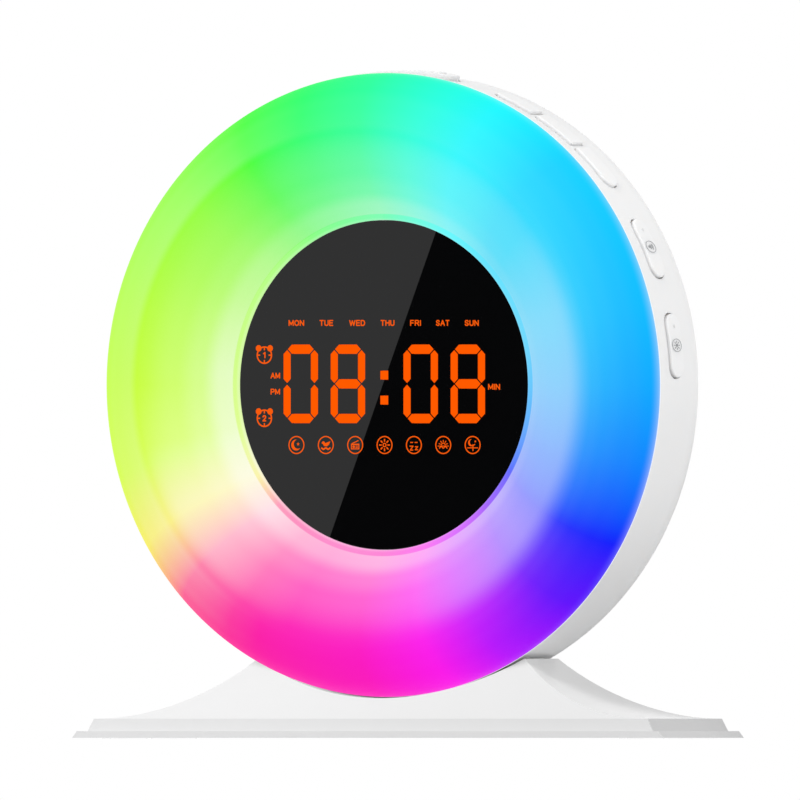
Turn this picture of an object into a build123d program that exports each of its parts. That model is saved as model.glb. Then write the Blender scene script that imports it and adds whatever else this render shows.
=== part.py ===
from build123d import *
from math import acos, asin, atan2, cos, degrees, radians, sin, sqrt
import os

# Sunrise alarm clock. Millimetres, +Z up, the display faces -Y.
# The origin is the bottom centre of the whole clock, on the surface that it rests on.

# ---------------------------------------------------------------- driving dimensions

# Placement of the clock head
cradle_lift = 8.7           # lowest point of the cradle above the base plate
stand_offset = 11.2         # middle of the stand behind the seam of ring and housing

# Light ring (frosted diffuser)
ring_radius = 82.5
ring_crest_radius = 66.5    # radius of the ring's foremost circle
ring_wall = 2.2
ring_flange_height = 1.6    # thick foot of the ring, in front of the seam
ring_skirt_wall = 1.2       # skirt that enters the housing
ring_skirt_depth = 2.0
lip_outer_radius = 45.2
lip_front = 2.5             # the flat inner lip stands this far in front of the seam
lip_slope_angle = 52.0      # steepness of the ring's inner slope where it meets the lip
lens_ledge_width = 2.15
lens_ledge_back = 0.8       # back of the ledge, behind the seam

# Display
display_radius = 43.65
lens_setback = 0.7          # lens face behind the lip
lens_thickness = 1.3
tape_thickness = 0.2
digit_half_height = 9.16    # between the centre lines of two level segments
digit_width = 8.23          # between the centre lines of two upright segments
digit_rise = 0.3            # digits sit this far above the display's centre
digit_inner_x = 10.98       # centres of the digits beside the colon
digit_outer_x = 25.2
upright_stroke = 2.1
level_stroke = 2.4
segment_gap = 0.5
colon_size = 2.3
colon_pitch = 6.6
colon_drop = 0.7            # middle of the colon below the display's centre
module_width = 76.0
module_height = 44.0
segment_depth = 1.5         # how far a segment reaches into the display module

# Rear housing
drum_radius = 81.8
drum_depth = 32.2
drum_rounding = 14.0
drum_wall = 2.5
shoulder_width = 2.0
shoulder_thickness = 1.4
boss_circle_radius = 62.0
well_radius = 4.6
well_floor = 2.0
chassis_boss_radius = 3.5
chassis_boss_length = 18.0

# Front chassis and light board
chassis_thickness = 2.0
led_board_inner_gap = 2.7   # light board outside the chassis collar
led_board_outer_gap = 1.5   # and inside the ring's skirt
board_thickness = 1.6
led_count = 24
led_size = 5.0
led_height = 1.4
led_board_screw_inset = 3.5

# Main board
main_board_width = 86.0
main_board_height = 60.0
main_board_standoff = 3.1
standoff_radius = 2.6
standoff_inset = 4.2
# x, z, width, height and thickness of each flat package on the board's back
chip_layout = (
    (-12.0, -14.0, 12.0, 12.0, 1.4),
    (8.0, -16.0, 8.0, 6.0, 1.2),
    (-30.0, -4.0, 6.0, 5.0, 1.5),
    (2.0, 2.0, 7.0, 4.0, 1.0),
    (-26.0, -18.0, 3.2, 8.0, 1.8),
)
capacitor_points = ((18.0, -24.0), (-36.0, -20.0))
capacitor_radius = 3.1
capacitor_height = 5.5
connector_size = (7.0, 5.0)
connector_height = 5.0
speaker_plug = (-34.0, 18.0)    # x and z of the connectors' middles
key_plug = (36.0, 16.0)
power_plug_z = -22.0            # straight above the power inlet

# Keys on the rim
control_depth = 9.7         # middle of the keys behind the seam
key_width = 6.6
key_face_radius = 82.6
key_edges = {"upper_key": (20.2, 28.9), "middle_key": (30.2, 39.1), "lower_key": (40.4, 50.2)}
rocker_edges = {"volume_rocker": (57.8, 69.7), "light_rocker": (76.8, 88.6)}
key_clearance = 0.3
rocker_end_clearance = 0.4
key_end_rounding = 3.2
key_corner_rounding = 0.5
key_face_rounding = 0.35
flange_thickness = 1.0
flange_lip = 0.6
flange_gap = 0.3            # flange of a key below the housing wall
key_travel = 0.4
travel_slack = 0.1          # stem above its switch at the end of the travel
rocker_tilt = 2.0           # degrees to either side
rocker_switch_offset = 6.2
rocker_keel_radius = 1.1
rocker_pivot_radius = 76.5
pivot_clearance = 0.1
icon_disc_radius = 1.7
icon_disc_thickness = 0.5
snooze_half_angle = 11.1
snooze_face_radius = 83.2
snooze_travel = 0.6
snooze_switch_angle = 7.0
snooze_dot_x = 11.0
snooze_dot_radius = 1.3
snooze_dot_height = 0.3

# Switches and what carries them
key_board_radius = 72.0
key_board_thickness = 0.6
key_board_width = 10.0
key_board_first_angle = -14.0
key_board_last_angle = 93.0
carrier_thickness = 2.0
lug_radius = 3.0
lug_overlap = 1.0           # lugs reach this far into the carrier's strip
lug_height = 4.0
lug_angles = (4.0, 54.0, 88.0)
switch_size = 6.0
switch_height = 3.4
switch_cap_radius = 1.7
switch_cap_height = 0.9
stem_radius = 1.6
post_width = 4.4
post_depth = 6.0

# Loudspeaker
speaker_z = 14.0            # above the drum's axis
speaker_radius = 24.0
speaker_flange_width = 3.5
speaker_flange_thickness = 1.2
speaker_sheet = 0.8
speaker_basket_depth = 10.0
magnet_radius = 12.0
magnet_thickness = 5.0
speaker_ear_overlap = 0.9   # screws of the ears sit this far inside the flange's edge
speaker_ear_margin = 1.2
speaker_roll_width = 2.0
solder_strip_width = 6.0
gasket_thickness = 0.6
cone_depth = 6.0
dust_cap_radius = 7.0
dust_cap_rise = 1.75
grille_rows = 5
grille_pitch = 3.8
grille_hole_radius = 1.05

# Power inlet
jack_x = 30.0
jack_z = -48.0
jack_width = 9.4
jack_height = 11.0
jack_length = 12.5
jack_snout_radius = 4.0
jack_bore_radius = 3.0
jack_bore_depth = 9.0
jack_pin_radius = 1.0

# Backup cell and its door
cell_bay_z = -36.0
bay_width = 27.0
bay_height = 21.5
bay_wall = 1.5
bay_depth = 5.4
coin_cell_radius = 10.0
coin_cell_thickness = 3.2
contact_thickness = 0.3
contact_width = 6.0
door_thickness = 2.0
door_ledge = 1.5
door_clearance = 0.3
door_pin_radius = 0.55
door_pin_length = 1.2
door_notch_width = 9.0
door_notch_reach = 2.6

# Leads inside the drum
lead_radius = 0.6
lead_pitch = 2.6
lead_bend = 2.2
key_lead_rise = 5.0         # above the switch carrier's edge

# Stand
foot_reveal = 0.3
plate_length = 178.4
plate_depth = 44.2
plate_thickness = 1.8
plate_end_slope = 1.45
step_length = 170.5
step_depth = 41.4
step_height = 3.28
step_end_slope = 1.65
step_face_slope = 0.4
wing_arc_radius = 65.5
wing_foot_inset = 0.6       # from the step's upper end edge to the foot of the wing's curve
wing_top_x = 36.0
ridge_height = 21.4
ridge_depth = 18.4
flare_sag = 1.0
cradle_clearance = 0.3      # light ring above the cradle
shell_wall = 2.0
foot_radius = 6.0
foot_thickness = 1.2
foot_x = 78.0
foot_y = 13.5
base_screw_x = 58.0
base_screw_y = 9.5
base_boss_radius = 3.0
base_pilot_depth = 4.0
base_screw_length = 5.0
saddle_screw_x = 14.0
saddle_boss_radius = 4.2
saddle_boss_height = 4.6
saddle_screw_length = 14.0
housing_foot_boss_radius = 3.6
housing_foot_boss_height = 9.0
housing_foot_boss_cap = 0.8     # closed end above the pilot hole
pad_half_angle = 14.0
pad_width = 13.6

# Screws: shank radius, head radius, head height
small_screw = (1.0, 1.9, 1.2)
housing_screw = (1.45, 2.7, 1.8)
screw_clearance = 0.15
screw_slot = 0.28           # width of the cross slot, as a share of the head's radius
cross_reach = 1.2           # length of each slot, likewise
fit_clearance = 0.05        # pieces that are glued or pushed together

# ---------------------------------------------------------------- derived sizes

plate_bottom = foot_reveal
plate_top = plate_bottom + plate_thickness
step_top = plate_top + step_height
cradle_radius = ring_radius + cradle_clearance
axis_height = plate_top + cradle_lift + cradle_radius   # axis of the drum above the table

ring_bulge = ring_radius - ring_crest_radius
clock_back = max(stand_offset + plate_depth / 2, drum_depth)
seam_y = (ring_bulge - clock_back) / 2      # plane between ring and housing
stand_y = seam_y + stand_offset
drum_inner_radius = drum_radius - drum_wall
back_inner = drum_depth - drum_wall
ledge_inner_radius = display_radius - lens_ledge_width
lens_face = lens_setback - lip_front
lens_back = lens_face + lens_thickness
ledge_front = lens_back + tape_thickness
inner_foot_radius = lip_outer_radius + ring_wall * 0.8
skirt_outer_radius = drum_inner_radius - 2 * fit_clearance
skirt_inner_radius = skirt_outer_radius - ring_skirt_wall
led_board_inner_radius = inner_foot_radius + led_board_inner_gap
led_board_outer_radius = skirt_inner_radius - led_board_outer_gap
led_circle_radius = (led_board_inner_radius + led_board_outer_radius) / 2
led_board_screw_radius = led_board_outer_radius - led_board_screw_inset

chassis_front = ring_skirt_depth
chassis_back = chassis_front + chassis_thickness
led_board_front = chassis_front - board_thickness
main_board_front = chassis_back + main_board_standoff
main_board_back = main_board_front + board_thickness
boss_end = chassis_back + chassis_boss_length

carrier_outer_radius = key_board_radius - key_board_thickness
switch_top_radius = key_board_radius + switch_height + switch_cap_height
key_flange_outer = drum_inner_radius - flange_gap
rocker_half_angle = max(end - start for start, end in rocker_edges.values()) / 2
rocker_reach = drum_inner_radius * sin(radians(rocker_half_angle)) + flange_lip
rocker_flange_outer = key_flange_outer - rocker_reach * sin(radians(rocker_tilt))

speaker_face = back_inner - gasket_thickness
speaker_flange_front = speaker_face - speaker_flange_thickness
basket_front = speaker_flange_front - speaker_basket_depth
cone_outer_radius = speaker_radius - speaker_flange_width - speaker_roll_width

door_width = bay_width + 2 * door_ledge - 2 * door_clearance
door_height = bay_height + 2 * door_ledge - 2 * door_clearance
door_inner = drum_depth - door_thickness
door_axis_depth = drum_depth - door_thickness / 2
door_axis_z = cell_bay_z - door_height / 2 + door_thickness / 2
bay_floor = door_inner - bay_depth

clock_axis = Axis((0, seam_y, axis_height), (0, 1, 0))


# ---------------------------------------------------------------- planes and shared shapes

def face_plane(depth):
    """Plane across the drum, depth behind the seam: x right, y up, extruding towards the display."""
    return Plane((0, seam_y + depth, axis_height), x_dir=(1, 0, 0), z_dir=(0, -1, 0))


section_plane = Plane((0, seam_y, axis_height))     # x is the radius, y the depth behind the seam


def rim_plane(angle, radius, depth=control_depth):
    """Plane square to the drum's radius at an angle clockwise from the top, extruding outwards."""
    turn = radians(angle)
    centre = (radius * sin(turn), seam_y + depth, axis_height + radius * cos(turn))
    return Plane(centre, x_dir=(cos(turn), 0, -sin(turn)), z_dir=(sin(turn), 0, cos(turn)))


def face_points(radius, count, first_angle=0.0):
    """Evenly spaced points on a circle about the drum's axis."""
    turns = [radians(first_angle + 360 * index / count) for index in range(count)]
    return [(radius * cos(turn), radius * sin(turn)) for turn in turns]


def rear_seats(depth, points):
    """Places on the drum whose z axis points to the back, for screws driven from behind."""
    return [Plane((x, seam_y + depth, axis_height + z), z_dir=(0, 1, 0)).location for x, z in points]


def front_seats(depth, points):
    """Places on the drum whose z axis points to the display, for screws driven from the front."""
    return [Plane((x, seam_y + depth, axis_height + z), z_dir=(0, -1, 0)).location for x, z in points]


def rim_pill(start, end, inner, outer, width, start_rounding, end_rounding):
    """Curved bar that follows the rim between two angles, with its radial edges rounded."""
    with BuildPart() as pill:
        with BuildSketch(face_plane(control_depth + width / 2)):
            with BuildLine():
                outside = CenterArc((0, 0), outer, 90 - end, end - start)
                inside = CenterArc((0, 0), inner, 90 - end, end - start)
                Line(outside @ 0, inside @ 0)
                Line(outside @ 1, inside @ 1)
            make_face()
        extrude(amount=width)
        for angle, rounding in ((start, start_rounding), (end, end_rounding)):
            radial = Axis((0, 0, 0), (sin(radians(angle)), 0, cos(radians(angle))))
            fillet(pill.edges().filter_by(radial), min(rounding, width / 2 - 0.05))
    return pill.part


def screw(sizes, length):
    """Cross-head screw: bearing face of the head at z 0, shank towards -z."""
    shank_radius, head_radius, head_height = sizes
    slot_width = head_radius * screw_slot
    slot_length = head_radius * cross_reach
    with BuildPart() as body:
        with BuildSketch():
            Circle(head_radius)
        extrude(amount=head_height)
        fillet(body.edges().sort_by(Axis.Z)[-1], head_height * 0.4)
        with BuildSketch(Plane.XY.offset(head_height)):
            Rectangle(slot_length, slot_width)
            Rectangle(slot_width, slot_length)
        extrude(amount=-head_height * 0.6, mode=Mode.SUBTRACT)
        with BuildSketch():
            Circle(shank_radius)
        extrude(amount=-length)
        chamfer(body.edges().sort_by(Axis.Z)[0], shank_radius * 0.4)
    return body.part


def lead(points, bends):
    """Thin insulated wire along straight runs joined by tangent arcs."""
    with BuildPart() as wire:
        with BuildLine() as route:
            FilletPolyline(*points, radius=bends)
        with BuildSketch(Plane(route.line @ 0, z_dir=route.line % 0)):
            Circle(lead_radius)
        sweep()
    return wire.part


# ---------------------------------------------------------------- light ring and display

def ring_front(inset):
    """Half-round bulge from the seam to the crest, then the convex slope down to the lip."""
    bulge = ring_bulge - inset
    foot = (lip_outer_radius + inset * 0.8, inset * 0.6 - lip_front)
    crest = (ring_crest_radius, -bulge)
    slope = radians(lip_slope_angle)
    CenterArc((ring_crest_radius, 0), bulge, 0, -90)
    Spline(crest, foot, tangents=((-1, 0), (-cos(slope), sin(slope))))
    return foot


with BuildPart() as diffuser_ring:
    with BuildSketch(section_plane):
        with BuildLine():
            lip_corner = ring_front(0)
            Polyline(
                lip_corner,
                (display_radius, -lip_front),
                (display_radius, ledge_front),
                (ledge_inner_radius, ledge_front),
                (ledge_inner_radius, lens_ledge_back),
                (ring_radius, lens_ledge_back),
                (ring_radius, 0),
            )
        make_face()
    revolve(axis=clock_axis)
    # light chamber behind the frosted wall
    with BuildSketch(section_plane):
        with BuildLine():
            chamber_corner = ring_front(ring_wall)
            Polyline(
                chamber_corner,
                (inner_foot_radius, lens_ledge_back),
                (ring_radius - ring_wall, lens_ledge_back),
                (ring_radius - ring_wall, 0),
            )
        make_face()
    revolve(axis=clock_axis, mode=Mode.SUBTRACT)
    # nothing of the outer wall reaches behind the seam
    with BuildSketch(section_plane):
        with Locations((inner_foot_radius, 0)):
            Rectangle(ring_radius, lens_ledge_back * 2, align=(Align.MIN, Align.MIN))
    revolve(axis=clock_axis, mode=Mode.SUBTRACT)
    # foot flange on the housing's rim, and the skirt that enters the housing
    with BuildSketch(section_plane):
        with BuildLine():
            flange_reach = sqrt(ring_bulge**2 - ring_flange_height**2)
            Polyline(
                (skirt_inner_radius, -ring_flange_height),
                (ring_crest_radius + flange_reach - ring_wall / 2, -ring_flange_height),
                (ring_radius - ring_wall / 2, 0),
                (skirt_outer_radius, 0),
                (skirt_outer_radius, ring_skirt_depth),
                (skirt_inner_radius, ring_skirt_depth),
                close=True,
            )
        make_face()
    revolve(axis=clock_axis)
    # pilot holes for the screws that come through the chassis
    ring_screw_radius = (display_radius + inner_foot_radius) / 2
    with BuildSketch(face_plane(lens_ledge_back)):
        with Locations(face_points(ring_screw_radius, 4)):
            Circle(small_screw[0])
    extrude(amount=lens_ledge_back + lip_front * 0.6, mode=Mode.SUBTRACT)
diffuser_ring.part.label = "diffuser_ring"


def segment(length, stroke, upright):
    """One bar of a digit, pointed at both ends."""
    tip = stroke / 2
    bar = [
        (-length / 2, 0),
        (-length / 2 + tip, stroke / 2),
        (length / 2 - tip, stroke / 2),
        (length / 2, 0),
        (length / 2 - tip, -stroke / 2),
        (-length / 2 + tip, -stroke / 2),
    ]
    Polygon(*[(-y, x) if upright else (x, y) for x, y in bar], align=None)


def digit_cells(grow):
    """All segments of the four digits and both colon squares, each grown on every side."""
    level_length = digit_width - segment_gap + 2 * grow
    upright_length = digit_half_height - segment_gap + 2 * grow
    with BuildSketch() as cells:
        for centre_x in (-digit_outer_x, -digit_inner_x, digit_inner_x, digit_outer_x):
            for row in (-1, 0, 1):
                with Locations((centre_x, digit_rise + row * digit_half_height)):
                    segment(level_length, level_stroke + 2 * grow, upright=False)
            for side in (-1, 1):
                for half in (-1, 1):
                    column_x = centre_x + side * digit_width / 2
                    with Locations((column_x, digit_rise + half * digit_half_height / 2)):
                        segment(upright_length, upright_stroke + 2 * grow, upright=True)
        for half in (-1, 1):
            with Locations((0, half * colon_pitch / 2 - colon_drop)):
                Rectangle(colon_size + 2 * grow, colon_size + 2 * grow)
    return cells.sketch


with BuildPart() as display_lens:
    with BuildSketch(face_plane(lens_back)):
        Circle(display_radius - fit_clearance)
    extrude(amount=lens_thickness)
    chamfer(display_lens.edges().sort_by(Axis.Y)[0], 0.15)
    # one window for each segment of the digits
    with BuildSketch(face_plane(lens_back)):
        add(digit_cells(fit_clearance))
    extrude(amount=lens_thickness, mode=Mode.SUBTRACT)
display_lens.part.label = "display_lens"

with BuildPart() as lens_tape:
    with BuildSketch(face_plane(ledge_front)):
        Circle(display_radius - 2 * fit_clearance)
        Circle(ledge_inner_radius + 2 * fit_clearance, mode=Mode.SUBTRACT)
    extrude(amount=tape_thickness)
lens_tape.part.label = "lens_tape"

segment_floor = lens_back + segment_depth

with BuildPart() as digit_segments:
    with BuildSketch(face_plane(segment_floor)):
        add(digit_cells(0))
    extrude(amount=segment_depth + lens_thickness)
digit_segments.part.label = "digit_segments"

with BuildPart() as display_module:
    with BuildSketch(face_plane(main_board_front)):
        Rectangle(module_width, module_height)
        Circle(ledge_inner_radius - 10 * fit_clearance, mode=Mode.INTERSECT)
    extrude(amount=main_board_front - lens_back - fit_clearance)
    # cups that hold the segments
    with BuildSketch(face_plane(segment_floor)):
        add(digit_cells(fit_clearance))
    extrude(amount=segment_depth, mode=Mode.SUBTRACT)
display_module.part.label = "display_module"

# ---------------------------------------------------------------- chassis and light board

boss_points = face_points(boss_circle_radius, 4, 45)
ring_screw_points = face_points(ring_screw_radius, 4)
led_board_screw_points = face_points(led_board_screw_radius, 4, 180 / led_count)
standoff_x = main_board_width / 2 - standoff_inset
standoff_z = main_board_height / 2 - standoff_inset
standoff_points = [(x, z) for x in (-standoff_x, standoff_x) for z in (-standoff_z, standoff_z)]
lug_circle_radius = carrier_outer_radius - carrier_thickness - lug_radius + lug_overlap
lug_points = [
    (lug_circle_radius * sin(radians(angle)), lug_circle_radius * cos(radians(angle)))
    for angle in lug_angles
]

with BuildPart() as front_chassis:
    with BuildSketch(face_plane(chassis_back)):
        Circle(drum_inner_radius - 2 * fit_clearance)
        Circle(ledge_inner_radius, mode=Mode.SUBTRACT)
    extrude(amount=chassis_thickness)
    # collar under the ring's inner foot
    with BuildSketch(face_plane(chassis_front)):
        Circle(inner_foot_radius)
        Circle(ledge_inner_radius, mode=Mode.SUBTRACT)
    extrude(amount=chassis_front - lens_ledge_back)
    # long bosses for the housing screws, short ones for the main board
    with BuildSketch(face_plane(boss_end)):
        with Locations(boss_points):
            Circle(chassis_boss_radius)
    extrude(amount=chassis_boss_length)
    with BuildSketch(face_plane(main_board_front)):
        with Locations(standoff_points):
            Circle(standoff_radius)
    extrude(amount=main_board_standoff)
    with BuildSketch(face_plane(boss_end)):
        with Locations(boss_points):
            Circle(housing_screw[0])
    extrude(amount=chassis_boss_length, mode=Mode.SUBTRACT)
    with BuildSketch(face_plane(main_board_front)):
        with Locations(standoff_points):
            Circle(small_screw[0])
    extrude(amount=main_board_standoff + chassis_thickness * 0.7, mode=Mode.SUBTRACT)
    with BuildSketch(face_plane(chassis_back)):
        with Locations(ring_screw_points):
            Circle(small_screw[0] + screw_clearance)
        with Locations(led_board_screw_points + lug_points):
            Circle(small_screw[0])
    extrude(amount=chassis_back - lens_ledge_back, mode=Mode.SUBTRACT)
front_chassis.part.label = "front_chassis"

with BuildPart() as ring_screws:
    with Locations(*rear_seats(chassis_back, ring_screw_points)):
        add(screw(small_screw, chassis_back + lip_front * 0.5))
ring_screws.part.label = "ring_screws"

with BuildPart() as led_board:
    with BuildSketch(face_plane(chassis_front)):
        Circle(led_board_outer_radius)
        Circle(led_board_inner_radius, mode=Mode.SUBTRACT)
        with Locations(led_board_screw_points):
            Circle(small_screw[0] + screw_clearance, mode=Mode.SUBTRACT)
    extrude(amount=board_thickness)
led_board.part.label = "led_board"

with BuildPart() as ring_leds:
    with BuildSketch(face_plane(led_board_front)):
        with PolarLocations(led_circle_radius, led_count):
            Rectangle(led_size, led_size)
    extrude(amount=led_height)
    fillet(ring_leds.edges().filter_by(Axis.Y), 0.5)
ring_leds.part.label = "ring_leds"

with BuildPart() as led_board_screws:
    with Locations(*front_seats(led_board_front, led_board_screw_points)):
        add(screw(small_screw, board_thickness + chassis_thickness * 0.9))
led_board_screws.part.label = "led_board_screws"

# ---------------------------------------------------------------- main board

with BuildPart() as main_board:
    with BuildSketch(face_plane(main_board_back)):
        RectangleRounded(main_board_width, main_board_height, standoff_radius)
        with Locations(standoff_points):
            Circle(small_screw[0] + screw_clearance, mode=Mode.SUBTRACT)
    extrude(amount=board_thickness)
main_board.part.label = "main_board"

with BuildPart() as board_screws:
    with Locations(*rear_seats(main_board_back, standoff_points)):
        add(screw(small_screw, board_thickness + main_board_standoff))
board_screws.part.label = "board_screws"

with BuildPart() as board_chips:
    for chip_x, chip_z, chip_width, chip_height, chip_thickness in chip_layout:
        with BuildSketch(face_plane(main_board_back + chip_thickness)):
            with Locations((chip_x, chip_z)):
                Rectangle(chip_width, chip_height)
        extrude(amount=chip_thickness)
    with BuildSketch(face_plane(main_board_back + capacitor_height)):
        with Locations(capacitor_points):
            Circle(capacitor_radius)
    extrude(amount=capacitor_height)
board_chips.part.label = "board_chips"

power_plug = (jack_x, power_plug_z)
connector_back = main_board_back + connector_height

with BuildPart() as board_connectors:
    with BuildSketch(face_plane(connector_back)):
        with Locations(speaker_plug, power_plug, key_plug):
            Rectangle(*connector_size)
    extrude(amount=connector_height)
board_connectors.part.label = "board_connectors"

# ---------------------------------------------------------------- rear housing


def drum_outline(inset):
    """Half section of the drum, shrunk by inset: wall, rounded edge and flat back."""
    flat = drum_radius - drum_rounding
    Line((0, drum_depth - inset), (flat, drum_depth - inset))
    CenterArc((flat, drum_depth - drum_rounding), drum_rounding - inset, 0, 90)
    Polyline((drum_radius - inset, drum_depth - drum_rounding), (drum_radius - inset, 0), (0, 0))
    Line((0, 0), (0, drum_depth - inset))


speaker_ear_points = [
    (x, z + speaker_z)
    for x, z in face_points(speaker_radius + small_screw[1] - speaker_ear_overlap, 3, 90)
]
speaker_ear_radius = small_screw[1] + speaker_ear_margin
well_bore = housing_screw[1] + 2 * screw_clearance
well_seat = boss_end + well_floor
foot_boss_corner = saddle_screw_x + housing_foot_boss_radius
foot_boss_bottom = sqrt((drum_radius - drum_wall / 2) ** 2 - foot_boss_corner**2)
foot_boss_top = drum_inner_radius - housing_foot_boss_height
saddle_screw_points = ((-saddle_screw_x, stand_y), (saddle_screw_x, stand_y))


def rim_opening(start, end, end_clearance, end_rounding, corner_rounding):
    """Opening in the drum's wall for one key or rocker."""
    spread = degrees(end_clearance / key_face_radius)
    return rim_pill(
        start - spread,
        end + spread,
        drum_inner_radius - drum_wall / 2,
        snooze_face_radius + drum_wall,
        key_width + 2 * key_clearance,
        end_rounding,
        corner_rounding,
    )


def key_roundings(name):
    """Roundings at the upper and the lower end: the row of three keys is one long pill."""
    if name == "upper_key":
        return key_end_rounding, key_corner_rounding
    if name == "lower_key":
        return key_corner_rounding, key_end_rounding
    return key_corner_rounding, key_corner_rounding


with BuildPart() as rear_housing:
    with BuildSketch(section_plane):
        with BuildLine():
            drum_outline(0)
        make_face()
    revolve(axis=clock_axis)
    with BuildSketch(section_plane):
        with BuildLine():
            drum_outline(drum_wall)
        make_face()
    revolve(axis=clock_axis, mode=Mode.SUBTRACT)
    # shoulder that the chassis rests on
    with BuildSketch(section_plane):
        with Locations((drum_inner_radius - shoulder_width, chassis_back)):
            Rectangle(shoulder_width + drum_wall / 2, shoulder_thickness, align=(Align.MIN, Align.MIN))
    revolve(axis=clock_axis)
    # wells for the housing screws
    with BuildSketch(face_plane(drum_depth)):
        with Locations(boss_points):
            Circle(well_radius)
    extrude(amount=drum_depth - boss_end)
    # low pads for the loudspeaker's ears
    with BuildSketch(face_plane(back_inner)):
        with Locations(speaker_ear_points):
            Circle(speaker_ear_radius)
    extrude(amount=gasket_thickness)
    # box of the cell bay
    with BuildSketch(face_plane(drum_depth)):
        with Locations((0, cell_bay_z)):
            Rectangle(bay_width + 2 * bay_wall, bay_height + 2 * bay_wall)
    extrude(amount=drum_depth - bay_floor + bay_wall)
    # ribs beside the power inlet
    rib_thickness = bay_wall
    with BuildSketch(face_plane(back_inner)):
        for side in (-1, 1):
            rib_x = jack_x + side * (jack_width / 2 + fit_clearance + rib_thickness / 2)
            with Locations((rib_x, jack_z)):
                Rectangle(rib_thickness, jack_height * 0.8)
    extrude(amount=jack_length / 2)
    # bosses over the stand's screws
    with BuildSketch(Plane.XY.offset(axis_height - foot_boss_top)):
        with Locations(saddle_screw_points):
            Circle(housing_foot_boss_radius)
    extrude(amount=foot_boss_top - foot_boss_bottom)
    # cuts
    with BuildSketch(face_plane(drum_depth)):
        with Locations(boss_points):
            Circle(well_bore)
    extrude(amount=drum_depth - well_seat, mode=Mode.SUBTRACT)
    with BuildSketch(face_plane(well_seat)):
        with Locations(boss_points):
            Circle(housing_screw[0] + screw_clearance)
    extrude(amount=well_floor, mode=Mode.SUBTRACT)
    with BuildSketch(face_plane(back_inner + drum_wall * 0.6)):
        with Locations(speaker_ear_points):
            Circle(small_screw[0])
    extrude(amount=gasket_thickness + drum_wall * 0.6, mode=Mode.SUBTRACT)
    with BuildSketch(face_plane(drum_depth)):
        with Locations((0, speaker_z)):
            Circle(grille_hole_radius)
            for row in range(1, grille_rows + 1):
                with PolarLocations(row * grille_pitch, 6 * row):
                    Circle(grille_hole_radius)
    extrude(amount=drum_wall, mode=Mode.SUBTRACT)
    with BuildSketch(face_plane(drum_depth)):
        with Locations((0, cell_bay_z)):
            Rectangle(bay_width + 2 * door_ledge, bay_height + 2 * door_ledge)
        notch_z = cell_bay_z + bay_height / 2 + door_ledge
        with Locations((0, notch_z)):
            Rectangle(door_notch_width, 2 * door_notch_reach)
    extrude(amount=door_thickness + fit_clearance, mode=Mode.SUBTRACT)
    with BuildSketch(face_plane(drum_depth)):
        with Locations((0, cell_bay_z)):
            Rectangle(bay_width, bay_height)
    extrude(amount=drum_depth - bay_floor, mode=Mode.SUBTRACT)
    for side in (-1, 1):
        hinge_point = (side * door_width / 2, seam_y + door_axis_depth, axis_height + door_axis_z)
        with BuildSketch(Plane(hinge_point, z_dir=(side, 0, 0))):
            Circle(door_pin_radius + pivot_clearance)
        extrude(amount=door_clearance + door_pin_length, mode=Mode.SUBTRACT)
    with BuildSketch(face_plane(drum_depth)):
        with Locations((jack_x, jack_z)):
            Circle(jack_snout_radius + 2 * fit_clearance)
    extrude(amount=drum_wall, mode=Mode.SUBTRACT)
    with BuildSketch(Plane.XY.offset(axis_height - drum_radius)):
        with Locations(saddle_screw_points):
            Circle(housing_screw[0])
    extrude(amount=drum_radius - foot_boss_top - housing_foot_boss_cap, mode=Mode.SUBTRACT)
    for name, (start, end) in key_edges.items():
        add(rim_opening(start, end, key_clearance, *key_roundings(name)), mode=Mode.SUBTRACT)
    for start, end in rocker_edges.values():
        add(
            rim_opening(start, end, rocker_end_clearance, key_end_rounding, key_end_rounding),
            mode=Mode.SUBTRACT,
        )
    add(
        rim_opening(
            -snooze_half_angle,
            snooze_half_angle,
            rocker_end_clearance,
            key_end_rounding,
            key_end_rounding,
        ),
        mode=Mode.SUBTRACT,
    )
rear_housing.part.label = "rear_housing"

with BuildPart() as housing_screws:
    with Locations(*rear_seats(well_seat, boss_points)):
        add(screw(housing_screw, well_floor + chassis_boss_length * 0.6))
housing_screws.part.label = "housing_screws"

# ---------------------------------------------------------------- keys, rockers and snooze bar


def key_body(start, end, face_radius, flange_outer, start_rounding, end_rounding):
    """Pressed part of a key: the visible pill and the flange that keeps it in the housing."""
    flange_angle = degrees(flange_lip / flange_outer)
    flange_inner = flange_outer - flange_thickness
    cap = rim_pill(
        start,
        end,
        flange_outer - flange_thickness / 2,
        face_radius,
        key_width,
        start_rounding,
        end_rounding,
    )
    flange = rim_pill(
        start - flange_angle,
        end + flange_angle,
        flange_inner,
        flange_outer,
        key_width + 2 * flange_lip,
        key_corner_rounding,
        key_corner_rounding,
    )
    with BuildPart() as key:
        add(cap)
        drum_centre = (0, seam_y + control_depth, axis_height)
        fillet(key.faces().sort_by_distance(drum_centre)[-1].edges(), key_face_rounding)
        add(flange)
    return key.part


def stem(angle, bottom, top):
    """Round post under a key, along the drum's radius."""
    with BuildPart() as post:
        with BuildSketch(rim_plane(angle, bottom)):
            Circle(stem_radius)
        extrude(amount=top - bottom)
    return post.part


def icon_disc(angle):
    """Round inlay on a rocker's face."""
    with BuildPart() as disc:
        with BuildSketch(rim_plane(angle, key_face_radius - icon_disc_thickness)):
            Circle(icon_disc_radius)
        extrude(amount=icon_disc_thickness)
        chamfer(disc.edges().sort_by_distance((0, seam_y + control_depth, axis_height))[-1], 0.08)
    return disc.part


key_stem_bottom = switch_top_radius + key_travel + travel_slack
key_stem_top = key_flange_outer - flange_thickness / 2
rim_keys = {}
for name, (start, end) in key_edges.items():
    with BuildPart() as rim_key:
        add(key_body(start, end, key_face_radius, key_flange_outer, *key_roundings(name)))
        add(stem((start + end) / 2, key_stem_bottom, key_stem_top))
    rim_key.part.label = name
    rim_keys[name] = rim_key

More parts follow.
